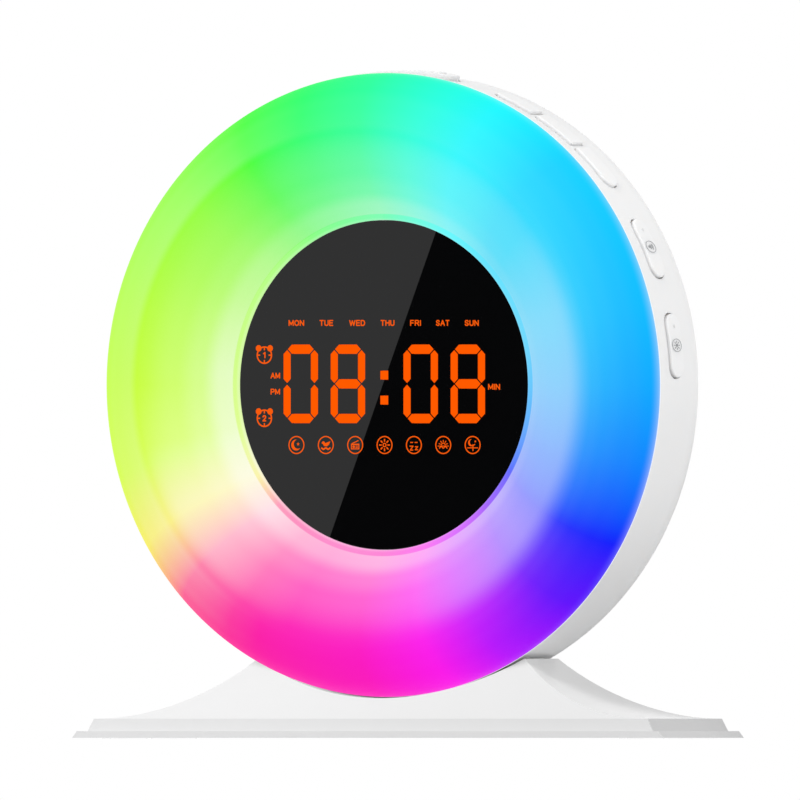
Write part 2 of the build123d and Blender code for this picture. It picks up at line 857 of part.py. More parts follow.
stem_dip = (rocker_switch_offset + stem_radius) * sin(radians(rocker_tilt))
rocker_stem_bottom = switch_top_radius + stem_dip + travel_slack
rocker_stem_top = rocker_flange_outer - flange_thickness / 2
rocker_switch_angle = degrees(rocker_switch_offset / key_board_radius)
rocker_neck_width = rocker_keel_radius * 1.4
rockers = {}
icon_discs = {}
for name, (start, end) in rocker_edges.items():
    middle = (start + end) / 2
    pivot_plane = rim_plane(middle, rocker_pivot_radius)
    with BuildPart() as rocker:
        add(
            key_body(
                start, end, key_face_radius, rocker_flange_outer, key_end_rounding, key_end_rounding
            )
        )
        for side in (-1, 1):
            add(stem(middle + side * rocker_switch_angle, rocker_stem_bottom, rocker_stem_top))
        # keel that the rocker tilts on
        with BuildSketch(pivot_plane):
            Rectangle(rocker_neck_width, key_width)
        extrude(amount=rocker_stem_top - rocker_pivot_radius)
        with BuildSketch(Plane(pivot_plane.origin, z_dir=(0, 1, 0))):
            Circle(rocker_keel_radius)
        extrude(amount=key_width / 2, both=True)
        # seat of the round inlay
        with BuildSketch(rim_plane(middle, key_face_radius - icon_disc_thickness)):
            Circle(icon_disc_radius + fit_clearance)
        extrude(amount=2 * icon_disc_thickness, mode=Mode.SUBTRACT)
    rocker.part.label = name
    rockers[name] = rocker
    icon_discs[name.replace("_rocker", "_icon_disc")] = icon_disc(middle)

snooze_switch_x = switch_top_radius * sin(radians(snooze_switch_angle))
snooze_cap_top = (
    switch_top_radius * cos(radians(snooze_switch_angle))
    + switch_cap_radius * sin(radians(snooze_switch_angle))
)
snooze_stem_bottom = snooze_cap_top + snooze_travel + travel_slack
snooze_stem_top = (key_flange_outer - flange_thickness / 2) * cos(radians(snooze_half_angle))
snooze_dot_angle = degrees(asin(snooze_dot_x / snooze_face_radius))

with BuildPart() as snooze_bar:
    add(
        key_body(
            -snooze_half_angle,
            snooze_half_angle,
            snooze_face_radius,
            key_flange_outer,
            key_end_rounding,
            key_end_rounding,
        )
    )
    with BuildSketch(Plane((0, seam_y + control_depth, axis_height + snooze_stem_bottom))):
        with Locations((-snooze_switch_x, 0), (snooze_switch_x, 0)):
            Circle(stem_radius)
    extrude(amount=snooze_stem_top - snooze_stem_bottom + flange_thickness / 2)
    # raised dot that the finger finds
    with BuildSketch(rim_plane(snooze_dot_angle, snooze_face_radius - snooze_dot_height)):
        Circle(snooze_dot_radius)
    extrude(amount=2 * snooze_dot_height)
    dot_rim = snooze_bar.edges().sort_by_distance((0, seam_y + control_depth, axis_height))[-1]
    fillet(dot_rim, snooze_dot_height * 0.6)
snooze_bar.part.label = "snooze_bar"

# ---------------------------------------------------------------- switches under the keys

key_middles = [(start + end) / 2 for start, end in key_edges.values()]
rocker_middles = [(start + end) / 2 for start, end in rocker_edges.values()]
switch_angles = [-snooze_switch_angle, snooze_switch_angle] + key_middles
switch_angles += [middle + side * rocker_switch_angle for middle in rocker_middles for side in (-1, 1)]
carrier_back = control_depth + key_board_width / 2


def rim_band(inner, outer, back, width):
    """Curved strip inside the drum, under all the keys."""
    sweep_angle = key_board_last_angle - key_board_first_angle
    with BuildPart() as band:
        with BuildSketch(face_plane(back)):
            with BuildLine():
                outside = CenterArc((0, 0), outer, 90 - key_board_last_angle, sweep_angle)
                inside = CenterArc((0, 0), inner, 90 - key_board_last_angle, sweep_angle)
                Line(outside @ 0, inside @ 0)
                Line(outside @ 1, inside @ 1)
            make_face()
        extrude(amount=width)
    return band.part


with BuildPart() as key_carrier:
    add(
        rim_band(
            carrier_outer_radius - carrier_thickness,
            carrier_outer_radius,
            carrier_back,
            carrier_back - chassis_back,
        )
    )
    with BuildSketch(face_plane(chassis_back + lug_height)):
        with Locations(lug_points):
            Circle(lug_radius)
    extrude(amount=lug_height)
    with BuildSketch(face_plane(chassis_back + lug_height)):
        with Locations(lug_points):
            Circle(small_screw[0] + screw_clearance)
    extrude(amount=lug_height, mode=Mode.SUBTRACT)
    # posts that hold the rockers' keels
    for middle in rocker_middles:
        with BuildSketch(rim_plane(middle, carrier_outer_radius - carrier_thickness / 2)):
            Rectangle(post_width, post_depth)
        extrude(amount=rocker_pivot_radius - carrier_outer_radius + carrier_thickness / 2)
        with BuildSketch(Plane(rim_plane(middle, rocker_pivot_radius).origin, z_dir=(0, 1, 0))):
            Circle(rocker_keel_radius + pivot_clearance)
        extrude(amount=key_width, both=True, mode=Mode.SUBTRACT)
key_carrier.part.label = "key_carrier"

with BuildPart() as carrier_screws:
    with Locations(*rear_seats(chassis_back + lug_height, lug_points)):
        add(screw(small_screw, lug_height + chassis_thickness * 0.9))
carrier_screws.part.label = "carrier_screws"

with BuildPart() as key_board:
    add(rim_band(carrier_outer_radius, key_board_radius, carrier_back, key_board_width))
    for middle in rocker_middles:
        with BuildSketch(rim_plane(middle, carrier_outer_radius - carrier_thickness / 2)):
            Rectangle(post_width + 4 * fit_clearance, post_depth + 4 * fit_clearance)
        extrude(amount=carrier_thickness, mode=Mode.SUBTRACT)
key_board.part.label = "key_board"

with BuildPart() as key_switches:
    for angle in switch_angles:
        with BuildSketch(rim_plane(angle, key_board_radius)):
            Rectangle(switch_size, switch_size)
        extrude(amount=switch_height)
        with BuildSketch(rim_plane(angle, key_board_radius + switch_height)):
            Circle(switch_cap_radius)
        extrude(amount=switch_cap_height)
key_switches.part.label = "key_switches"

# ---------------------------------------------------------------- loudspeaker

speaker_axis = Axis((0, seam_y, axis_height + speaker_z), (0, 1, 0))
speaker_section = Plane((0, seam_y, axis_height + speaker_z))
speaker_window = speaker_radius - speaker_flange_width
roll_radius = (speaker_window - cone_outer_radius) / 2
cone_rim = speaker_flange_front + speaker_sheet / 2
neck_depth = cone_rim - cone_depth
paper = speaker_sheet / 2

with BuildPart() as speaker_gasket:
    with BuildSketch(face_plane(back_inner)):
        with Locations((0, speaker_z)):
            Circle(speaker_radius)
            Circle(speaker_window, mode=Mode.SUBTRACT)
        with Locations(speaker_ear_points):
            Circle(speaker_ear_radius + fit_clearance, mode=Mode.SUBTRACT)
    extrude(amount=gasket_thickness)
speaker_gasket.part.label = "speaker_gasket"

with BuildPart() as speaker_frame:
    with BuildSketch(face_plane(speaker_face)):
        with Locations((0, speaker_z)):
            Circle(speaker_radius)
        with Locations(speaker_ear_points):
            Circle(speaker_ear_radius)
        with Locations((0, speaker_z)):
            Circle(speaker_window, mode=Mode.SUBTRACT)
        with Locations(speaker_ear_points):
            Circle(small_screw[0] + screw_clearance, mode=Mode.SUBTRACT)
    extrude(amount=speaker_flange_thickness)
    # pressed steel basket
    with BuildSketch(speaker_section):
        Polygon(
            (speaker_window, speaker_face),
            (speaker_window + speaker_sheet, speaker_face),
            (speaker_window + speaker_sheet, speaker_flange_front),
            (magnet_radius, basket_front),
            (dust_cap_radius + paper, basket_front),
            (dust_cap_radius + paper, basket_front + speaker_sheet),
            (magnet_radius - speaker_sheet / 2, basket_front + speaker_sheet),
            (speaker_window, speaker_flange_front + speaker_sheet / 4),
            align=None,
        )
    revolve(axis=speaker_axis)
    window_reach = speaker_basket_depth * 0.6
    with BuildSketch(face_plane(speaker_flange_front - speaker_basket_depth * 0.2)):
        with Locations((0, speaker_z)):
            with PolarLocations((speaker_window + magnet_radius) / 2, 4, 45):
                Rectangle(speaker_window - magnet_radius, magnet_radius * 0.8)
    extrude(amount=window_reach, mode=Mode.SUBTRACT)
    # strip that carries the two solder tags
    with BuildSketch(face_plane(speaker_flange_front)):
        with Locations((-(speaker_window + speaker_radius) / 2, speaker_z)):
            Rectangle(speaker_flange_width - speaker_sheet, solder_strip_width)
    extrude(amount=speaker_sheet)
speaker_frame.part.label = "speaker_frame"

with BuildPart() as speaker_surround:
    with BuildSketch(speaker_section):
        with BuildLine():
            roll_middle = speaker_window - roll_radius
            CenterArc((roll_middle, cone_rim), roll_radius, 0, 180)
            CenterArc((roll_middle, cone_rim), roll_radius - paper, 0, 180)
            Line((roll_middle + roll_radius, cone_rim), (roll_middle + roll_radius - paper, cone_rim))
            Line((roll_middle - roll_radius, cone_rim), (roll_middle - roll_radius + paper, cone_rim))
        make_face()
    revolve(axis=speaker_axis)
speaker_surround.part.label = "speaker_surround"

with BuildPart() as speaker_cone:
    # paper cone with a domed dust cap, and the voice coil's former under their seam
    coil_end = basket_front + speaker_sheet
    former_inner = dust_cap_radius - paper
    dome_radius = (dust_cap_radius**2 + dust_cap_rise**2) / (2 * dust_cap_rise)
    dome_centre = (0, neck_depth + dust_cap_rise - dome_radius)
    outer_start = degrees(acos(dust_cap_radius / dome_radius))
    inner_start = degrees(acos(former_inner / (dome_radius - paper)))
    with BuildSketch(speaker_section):
        with BuildLine():
            over = CenterArc(dome_centre, dome_radius, outer_start, 90 - outer_start)
            under = CenterArc(dome_centre, dome_radius - paper, inner_start, 90 - inner_start)
            Line(over @ 1, under @ 1)
            Polyline(
                under @ 0,
                (former_inner, coil_end),
                (dust_cap_radius, coil_end),
                (dust_cap_radius, neck_depth - paper),
                (cone_outer_radius + paper, cone_rim - paper),
                (cone_outer_radius + paper, cone_rim),
                over @ 0,
            )
        make_face()
    revolve(axis=speaker_axis)
speaker_cone.part.label = "speaker_cone"

with BuildPart() as speaker_magnet:
    with BuildSketch(face_plane(basket_front)):
        with Locations((0, speaker_z)):
            Circle(magnet_radius)
    extrude(amount=magnet_thickness)
    chamfer(speaker_magnet.edges(), speaker_sheet / 2)
speaker_magnet.part.label = "speaker_magnet"

with BuildPart() as speaker_screws:
    with Locations(*front_seats(speaker_flange_front, speaker_ear_points)):
        add(screw(small_screw, speaker_flange_thickness + gasket_thickness + drum_wall * 0.5))
speaker_screws.part.label = "speaker_screws"

# ---------------------------------------------------------------- power inlet

jack_face = drum_depth - 4 * fit_clearance

with BuildPart() as dc_jack:
    with BuildSketch(face_plane(back_inner)):
        with Locations((jack_x, jack_z)):
            RectangleRounded(jack_width, jack_height, jack_width * 0.08)
    extrude(amount=jack_length)
    with BuildSketch(face_plane(jack_face)):
        with Locations((jack_x, jack_z)):
            Circle(jack_snout_radius)
    extrude(amount=jack_face - back_inner)
    with BuildSketch(face_plane(jack_face)):
        with Locations((jack_x, jack_z)):
            Circle(jack_bore_radius)
    extrude(amount=jack_bore_depth, mode=Mode.SUBTRACT)
dc_jack.part.label = "dc_jack"

with BuildPart() as dc_jack_pin:
    with BuildSketch(face_plane(jack_face - jack_pin_radius * 2)):
        with Locations((jack_x, jack_z)):
            Circle(jack_pin_radius)
    extrude(amount=jack_bore_depth - jack_pin_radius * 2)
    fillet(dc_jack_pin.edges().sort_by(Axis.Y)[-1], jack_pin_radius * 0.6)
dc_jack_pin.part.label = "dc_jack_pin"

# ---------------------------------------------------------------- backup cell and its door

cell_front = bay_floor + contact_thickness
cell_back = cell_front + coin_cell_thickness
bay_level = axis_height + cell_bay_z

with BuildPart() as coin_cell:
    with BuildSketch(face_plane(cell_back)):
        with Locations((0, cell_bay_z)):
            Circle(coin_cell_radius)
    extrude(amount=coin_cell_thickness)
    fillet(coin_cell.edges(), contact_thickness)
coin_cell.part.label = "coin_cell"

with BuildPart() as cell_contacts:
    with BuildSketch(face_plane(cell_front)):
        with Locations((-contact_width / 2, cell_bay_z)):
            Rectangle(2 * coin_cell_radius - contact_width, contact_width)
    extrude(amount=contact_thickness)
    # clip that reaches over the cell's rim from the bay's side
    clip_foot = bay_width / 2 - fit_clearance
    with BuildSketch(Plane((0, seam_y, bay_level))):
        Polygon(
            (clip_foot, bay_floor),
            (clip_foot, cell_back + contact_thickness),
            (coin_cell_radius - contact_width / 2, cell_back + contact_thickness),
            (coin_cell_radius - contact_width / 2, cell_back),
            (clip_foot - contact_thickness, cell_back),
            (clip_foot - contact_thickness, bay_floor),
            align=None,
        )
    extrude(amount=contact_width / 2, both=True)
cell_contacts.part.label = "cell_contacts"

with BuildPart() as battery_door:
    with BuildSketch(face_plane(drum_depth)):
        with Locations((0, cell_bay_z)):
            Rectangle(door_width, door_height)
    extrude(amount=door_thickness)
    lower_edges = battery_door.edges().filter_by(Axis.X).group_by(Axis.Z)[0]
    fillet(lower_edges, door_thickness / 2 - 0.02)
    for side in (-1, 1):
        hinge_point = (side * door_width / 2, seam_y + door_axis_depth, axis_height + door_axis_z)
        with BuildSketch(Plane(hinge_point, z_dir=(side, 0, 0))):
            Circle(door_pin_radius)
        extrude(amount=door_pin_length)
battery_door.part.label = "battery_door"

# ---------------------------------------------------------------- stand

step_half = step_length / 2
step_top_half = step_half - step_end_slope
wing_foot_x = step_top_half - wing_foot_inset
wing_centre = (wing_foot_x, step_top + wing_arc_radius)
block_height = axis_height - cradle_radius + ridge_height


stand_front = Plane((0, stand_y, 0), x_dir=(1, 0, 0), z_dir=(0, -1, 0))
stand_side = Plane((0, stand_y, 0), x_dir=(0, 1, 0), z_dir=(1, 0, 0))


def saddle_block(inset):
    """Step and wings of the stand as one solid, every outer face moved in by inset."""
    arc_radius = wing_arc_radius + inset
    arc_sweep = degrees(asin((wing_foot_x - wing_top_x) / arc_radius))
    half_step = step_depth / 2 - inset
    half_top = half_step - step_face_slope
    half_ridge = ridge_depth / 2 - inset
    slope = atan2(ridge_height - step_top, half_top - half_ridge)
    middle = (
        (half_top + half_ridge) / 2 - flare_sag * sin(slope),
        (step_top + ridge_height) / 2 - flare_sag * cos(slope),
    )
    with BuildPart() as block:
        with BuildSketch(stand_front):
            with BuildLine() as bell:
                wing = CenterArc(wing_centre, arc_radius, -90, -arc_sweep)
                Polyline(
                    wing @ 0,
                    (step_top_half - inset, step_top - inset),
                    (step_half - inset, plate_top),
                    (0, plate_top),
                )
                Polyline(wing @ 1, (0, (wing @ 1).Y))
                mirror(bell.line, about=Plane.YZ)
            make_face()
        extrude(amount=step_depth, both=True)
        with BuildSketch(stand_side):
            with BuildLine() as flare:
                Line((half_step, plate_top), (half_top, step_top))
                ThreePointArc((half_top, step_top), middle, (half_ridge, ridge_height))
                Polyline((half_ridge, ridge_height), (half_ridge, block_height), (0, block_height))
                mirror(flare.line, about=Plane.YZ)
                Line((-half_step, plate_top), (half_step, plate_top))
            make_face()
        extrude(amount=step_length, both=True, mode=Mode.INTERSECT)
        with BuildSketch(face_plane(stand_offset)):
            Circle(cradle_radius + inset)
        extrude(amount=step_depth, both=True, mode=Mode.SUBTRACT)
    return block.part


base_screw_points = [
    (x, stand_y + y) for x in (-base_screw_x, base_screw_x) for y in (-base_screw_y, base_screw_y)
]
cradle_at_screw = axis_height - sqrt(cradle_radius**2 - saddle_screw_x**2)
saddle_seat = cradle_at_screw - saddle_boss_height
outer_block = saddle_block(0)

with BuildPart() as base_bosses:
    with BuildSketch(Plane.XY.offset(plate_top)):
        with Locations(base_screw_points):
            Circle(base_boss_radius)
    extrude(amount=block_height)
    with BuildSketch(Plane.XY.offset(saddle_seat)):
        with Locations(saddle_screw_points):
            Circle(saddle_boss_radius)
    extrude(amount=block_height)
    add(outer_block, mode=Mode.INTERSECT)

with BuildPart() as base_shell:
    add(outer_block)
    add(saddle_block(shell_wall), mode=Mode.SUBTRACT)
    add(base_bosses.part)
    with BuildSketch(Plane.XY.offset(plate_top)):
        with Locations(base_screw_points):
            Circle(small_screw[0])
    extrude(amount=base_pilot_depth, mode=Mode.SUBTRACT)
    with BuildSketch(Plane.XY.offset(plate_top)):
        with Locations(saddle_screw_points):
            Circle(housing_screw[0] + screw_clearance)
    extrude(amount=block_height, mode=Mode.SUBTRACT)
base_shell.part.label = "base_shell"

foot_points = [(x, stand_y + y) for x in (-foot_x, foot_x) for y in (-foot_y, foot_y)]

with BuildPart() as base_plate:
    with BuildSketch(stand_front):
        Polygon(
            (-plate_length / 2, plate_bottom),
            (plate_length / 2, plate_bottom),
            (plate_length / 2 - plate_end_slope, plate_top),
            (plate_end_slope - plate_length / 2, plate_top),
            align=None,
        )
    extrude(amount=plate_depth / 2, both=True)
    with BuildSketch(Plane.XY):
        with Locations(foot_points):
            Circle(foot_radius + 2 * fit_clearance)
    extrude(amount=foot_thickness, mode=Mode.SUBTRACT)
    underside = [Plane((x, y, plate_bottom), z_dir=(0, 0, -1)).location for x, y in base_screw_points]
    with Locations(*underside):
        CounterSinkHole(
            small_screw[0] + screw_clearance, small_screw[1] + fit_clearance, counter_sink_angle=90
        )
base_plate.part.label = "base_plate"

with BuildPart() as rubber_feet:
    with BuildSketch(Plane.XY):
        with Locations(foot_points):
            Circle(foot_radius)
    extrude(amount=foot_thickness)
    fillet(rubber_feet.edges().group_by(Axis.Z)[0], foot_reveal * 0.8)
rubber_feet.part.label = "rubber_feet"

with BuildPart() as base_screws:
    shank, head = small_screw[0], small_screw[1]
    for x, y in base_screw_points:
        with BuildSketch(Plane((x, y, plate_bottom), x_dir=(1, 0, 0), z_dir=(0, -1, 0))):
            Polygon(
                (0, 0),
                (head, 0),
                (shank, head - shank),
                (shank, base_screw_length),
                (0, base_screw_length),
                align=None,
            )
        revolve(axis=Axis((x, y, 0), (0, 0, 1)))
        with BuildSketch(Plane.XY.offset(plate_bottom)):
            with Locations((x, y)):
                Rectangle(head * cross_reach, head * screw_slot)
                Rectangle(head * screw_slot, head * cross_reach)
        extrude(amount=head * 0.4, mode=Mode.SUBTRACT)
base_screws.part.label = "base_screws"

with BuildPart() as saddle_pad:
    with BuildSketch(face_plane(stand_offset + pad_width / 2)):
        with BuildLine():
            pad_start = -90 - pad_half_angle
            under = CenterArc((0, 0), cradle_radius - fit_clearance, pad_start, 2 * pad_half_angle)
            over = CenterArc((0, 0), drum_radius + fit_clearance, pad_start, 2 * pad_half_angle)
            Line(under @ 0, over @ 0)
            Line(under @ 1, over @ 1)
        make_face()
    extrude(amount=pad_width)
    with BuildSketch(Plane.XY):
        with Locations(saddle_screw_points):
            Circle(housing_screw[0] + screw_clearance)
    extrude(amount=axis_height, mode=Mode.SUBTRACT)
saddle_pad.part.label = "saddle_pad"

with BuildPart() as saddle_screws:
    for x, y in saddle_screw_points:
        with Locations(Plane((x, y, saddle_seat), z_dir=(0, 0, -1)).location):
            add(screw(housing_screw, saddle_screw_length))
saddle_screws.part.label = "saddle_screws"

# ---------------------------------------------------------------- leads inside the drum


def drum_point(x, depth, z):
    """Point in the drum from its distance right, behind the seam and above the axis."""
    return (x, seam_y + depth, axis_height + z)


with BuildPart() as speaker_leads:
    plug_x, plug_z = speaker_plug
    tag_x = -(speaker_window + speaker_radius) / 2
    for side in (-1, 1):
        shift = side * lead_pitch / 2
        add(
            lead(
                [
                    drum_point(plug_x, connector_back, plug_z + shift),
                    drum_point(plug_x, basket_front, plug_z + shift),
                    drum_point(tag_x, basket_front, speaker_z + shift),
                    drum_point(tag_x, speaker_flange_front - speaker_sheet, speaker_z + shift),
                ],
                lead_bend,
            )
        )
speaker_leads.part.label = "speaker_leads"

with BuildPart() as power_leads:
    plug_x, plug_z = power_plug
    solder_depth = back_inner - jack_length * 0.7
    for side in (-1, 1):
        shift = side * lead_pitch / 2
        add(
            lead(
                [
                    drum_point(plug_x + shift, connector_back, plug_z),
                    drum_point(plug_x + shift, solder_depth, plug_z),
                    drum_point(plug_x + shift, solder_depth, jack_z + jack_height / 2),
                ],
                lead_bend,
            )
        )
power_leads.part.label = "power_leads"

with BuildPart() as key_leads:
    plug_x, plug_z = key_plug
    lead_level = carrier_back + key_lead_rise
    entry_angle = radians(lug_angles[1])
    along = (cos(entry_angle), -sin(entry_angle))
    entry = (carrier_outer_radius * sin(entry_angle), carrier_outer_radius * cos(entry_angle))
    for side in (-1, 1):
        shift_x = side * along[0] * lead_pitch / 2
        shift_z = side * along[1] * lead_pitch / 2
        add(
            lead(
                [
                    drum_point(plug_x + shift_x, connector_back, plug_z + shift_z),
                    drum_point(plug_x + shift_x, lead_level, plug_z + shift_z),
                    drum_point(entry[0] + shift_x, lead_level, entry[1] + shift_z),
                    drum_point(entry[0] + shift_x, carrier_back, entry[1] + shift_z),
                ],
                lead_bend,
            )
        )
key_leads.part.label = "key_leads"

# ---------------------------------------------------------------- files

pieces = [
    diffuser_ring, display_lens, lens_tape, digit_segments, display_module, front_chassis, ring_screws,
    led_board, ring_leds, led_board_screws, main_board, board_screws, board_chips, board_connectors,
    rear_housing, housing_screws, snooze_bar, key_carrier, carrier_screws, key_board, key_switches,
    speaker_gasket, speaker_frame, speaker_surround, speaker_cone, speaker_magnet, speaker_screws,
    dc_jack, dc_jack_pin, coin_cell, cell_contacts, battery_door, base_shell, base_plate, rubber_feet,
    base_screws, saddle_pad, saddle_screws, speaker_leads, power_leads, key_leads,
]

os.makedirs("parts", exist_ok=True)
for piece in pieces + list(rim_keys.values()) + list(rockers.values()):
    export_step(piece.part, f"parts/{piece.part.label}.step")
for name, disc in icon_discs.items():
    disc.label = name
    export_step(disc, f"parts/{name}.step")
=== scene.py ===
from math import asin, cos, hypot, pi, radians, sin, tan

import bmesh
import bpy
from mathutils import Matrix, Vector


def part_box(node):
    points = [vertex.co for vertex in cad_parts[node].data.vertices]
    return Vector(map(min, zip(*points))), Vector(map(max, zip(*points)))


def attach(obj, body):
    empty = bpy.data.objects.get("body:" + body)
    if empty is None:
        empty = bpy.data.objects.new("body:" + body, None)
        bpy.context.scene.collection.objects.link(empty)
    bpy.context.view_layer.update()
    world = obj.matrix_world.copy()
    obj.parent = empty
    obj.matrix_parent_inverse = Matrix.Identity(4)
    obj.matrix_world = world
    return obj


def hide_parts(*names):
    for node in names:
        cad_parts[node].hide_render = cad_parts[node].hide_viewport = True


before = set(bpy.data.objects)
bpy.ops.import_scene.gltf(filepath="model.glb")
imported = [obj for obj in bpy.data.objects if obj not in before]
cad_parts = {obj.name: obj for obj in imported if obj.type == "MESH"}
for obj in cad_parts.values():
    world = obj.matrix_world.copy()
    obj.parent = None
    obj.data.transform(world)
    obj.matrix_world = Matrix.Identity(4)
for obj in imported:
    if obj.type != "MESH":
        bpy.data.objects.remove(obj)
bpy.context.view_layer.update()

# ------------------------------------------------------------------ studio
# A white table under an even white sky, one large soft lamp in front on the left and a narrow one
# from the right on the drum. The camera stands level with the clock and sees it from its right.

mm = 0.001
ring_low, ring_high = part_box("diffuser_ring")
axis_z = (ring_low.z + ring_high.z) / 2
seam_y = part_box("rear_housing")[0].y
seam_centre = Vector((0, seam_y, axis_z))

view_turn = radians(28.8)
picture_width = 211.5 * mm
aim_right = 3.305 * mm          # middle of the picture, right of the ring's centre
aim_drop = 3.97 * mm            # and below it
camera_distance = 1.2

scene = bpy.context.scene
scene.view_settings.view_transform = "Standard"

to_camera = Vector((sin(view_turn), -cos(view_turn), 0))
to_right = Vector((cos(view_turn), sin(view_turn), 0))
camera = bpy.data.objects.new("camera", bpy.data.cameras.new("camera"))
camera.data.type = "ORTHO"
camera.data.ortho_scale = picture_width
camera.location = (
    seam_centre + to_right * aim_right - Vector((0, 0, aim_drop)) + to_camera * camera_distance
)
camera.rotation_mode = "QUATERNION"
camera.rotation_quaternion = (-to_camera).to_track_quat("-Z", "Y")
scene.collection.objects.link(camera)
scene.camera = camera


def new_tree(owner):
    """Empties the node tree of a material or a world and returns it with its output node."""
    owner.use_nodes = True
    tree = owner.node_tree
    tree.nodes.clear()
    is_world = isinstance(owner, bpy.types.World)
    return tree, tree.nodes.new("ShaderNodeOutputWorld" if is_world else "ShaderNodeOutputMaterial")


def feed(tree, socket, value):
    """Links a node's output to a socket, or sets a plain value on it."""
    if isinstance(value, bpy.types.NodeSocket):
        tree.links.new(value, socket)
    else:
        socket.default_value = value


def node(tree, kind, **values):
    """A node of a kind, with its inputs linked or set by name."""
    made = tree.nodes.new(kind)
    for label, value in values.items():
        feed(tree, made.inputs[label.replace("_", " ")], value)
    return made


def maths(tree, operation, *values, clamp=False):
    """One Math node; returns its output."""
    made = tree.nodes.new("ShaderNodeMath")
    made.operation = operation
    made.use_clamp = clamp
    for socket, value in zip(made.inputs, values):
        feed(tree, socket, value)
    return made.outputs[0]


sky = bpy.data.worlds.new("sky")
scene.world = sky
tree, output = new_tree(sky)
paths = tree.nodes.new("ShaderNodeLightPath")
seen = maths(tree, "MAXIMUM", paths.outputs["Is Camera Ray"], paths.outputs["Is Glossy Ray"])
seen = maths(tree, "MAXIMUM", seen, paths.outputs["Is Transmission Ray"])
sky_light = 0.55                # on the object; what is seen of the sky itself is plain white
sky_strength = maths(tree, "MULTIPLY_ADD", seen, 1 - sky_light, sky_light)
background = node(tree, "ShaderNodeBackground", Color=(1, 1, 1, 1), Strength=sky_strength)
tree.links.new(background.outputs[0], output.inputs["Surface"])


def sheet(name, corners):
    """Flat sheet between four corners."""
    mesh = bpy.data.meshes.new(name)
    mesh.from_pydata(corners, [], [(0, 1, 2, 3)])
    piece = bpy.data.objects.new(name, mesh)
    scene.collection.objects.link(piece)
    return piece


table_size = 3.0
table_tone = 0.72               # share of the light that it throws back
table_lift = 0.16               # by which the camera sees it lighter
edge = table_size / 2
table = sheet("table", [(-edge, -edge, 0), (edge, -edge, 0), (edge, edge, 0), (-edge, edge, 0)])
table_white = bpy.data.materials.new("table_white")
tree, output = new_tree(table_white)
is_seen = tree.nodes.new("ShaderNodeLightPath").outputs["Is Camera Ray"]
table_shade = maths(tree, "MULTIPLY_ADD", is_seen, table_lift, table_tone)
surface = node(tree, "ShaderNodeBsdfPrincipled", Base_Color=table_shade, Roughness=0.6)
tree.links.new(surface.outputs[0], output.inputs["Surface"])
table.data.materials.append(table_white)


def hang(name, lamp, place, aim):
    """Puts a lamp in its place, turned to a point."""
    holder = bpy.data.objects.new(name, lamp)
    holder.location = place
    holder.rotation_mode = "QUATERNION"
    holder.rotation_quaternion = (Vector(aim) - Vector(place)).to_track_quat("-Z", "Y")
    holder.visible_glossy = False
    scene.collection.objects.link(holder)


softbox = bpy.data.lights.new("softbox", "AREA")
softbox.size = 1.0
softbox.energy = 14.0
softbox_place = (-0.45, -0.95, 1.45)
hang("softbox", softbox, softbox_place, seam_centre)
drum_spot = bpy.data.lights.new("drum_spot", "SPOT")
drum_spot.energy = 21.0
drum_spot.spot_size = radians(8.0)
drum_spot.spot_blend = 0.4
drum_spot.shadow_soft_size = 0.03
spot_place = (1.15, -0.3, 0.4)
spot_aim = (0.03, 0, axis_z + 0.004)
hang("drum_spot", drum_spot, spot_place, spot_aim)

# A black card in front keeps the display dark; its slanted edge shows as the border of the
# grey glare on the display's left half.
card_distance = 0.5
card_reach = 0.45
glare_slope = 2.52              # rise of the border over its run
glare_middle = 0.5 * mm
card_middle = glare_middle - card_distance * tan(view_turn)
card_lean = card_reach / glare_slope
card_y = seam_y - card_distance
card_low, card_high = axis_z - card_reach, axis_z + card_reach
card = sheet(
    "black_card",
    [
        (card_middle - card_lean, card_y, card_low),
        (card_reach, card_y, card_low),
        (card_reach, card_y, card_high),
        (card_middle + card_lean, card_y, card_high),
    ],
)
card_black = bpy.data.materials.new("card_black")
tree, output = new_tree(card_black)
dark = node(tree, "ShaderNodeEmission", Strength=0.0)
tree.links.new(dark.outputs[0], output.inputs["Surface"])
card.data.materials.append(card_black)
card.visible_camera = False
card.visible_diffuse = False
card.visible_transmission = False
card.visible_shadow = False

# ------------------------------------------------------------------ light ring
# Frosted acrylic ring, moulded in one piece and lit from behind by a circle of coloured LEDs.
# It glows most purely on its outer shoulder and pales towards the lip round the display; painted
# highlights, unequal round the ring, pale it further.

ring_radius = ring_high.x
crest_radius = 66.5 * mm
lip_outer = 45.2 * mm
lip_inner = 43.65 * mm
lip_height = 2.5 * mm           # in front of the seam
lip_rounding = 0.25 * mm
lip_step = 0.12 * mm            # crisp edge between the flat lip and the slope
slope_angle = radians(52)
ring_wall = 2.2 * mm
ledge_inner = 41.5 * mm
ledge_front = 0.3 * mm
ledge_back = -0.8 * mm
skirt_outer = 79.2 * mm
skirt_inner = 78.0 * mm
skirt_depth = 2.0 * mm
flange_height = 1.6 * mm
ring_turns = 300
curve_steps = 36                # points along the crest and the slope,
chamber_steps = 24              # along the inner side of both,
lip_steps = 6                   # and along the lip's rounding


def bezier(points, share):
    """Point on a Bezier curve of any degree."""
    row = [Vector(p) for p in points]
    while len(row) > 1:
        row = [a.lerp(b, share) for a, b in zip(row, row[1:])]
    return tuple(row[0])


def slope_curve(crest, foot, steps):
    """Convex slope from the ring's crest down to the lip, as (radius, height) points."""
    handle = hypot(crest[0] - foot[0], crest[1] - foot[1]) / 3
    near_crest = (crest[0] - handle, crest[1])
    near_foot = (foot[0] + handle * cos(slope_angle), foot[1] + handle * sin(slope_angle))
    return [bezier((crest, near_crest, near_foot, foot), step / steps) for step in range(steps + 1)]


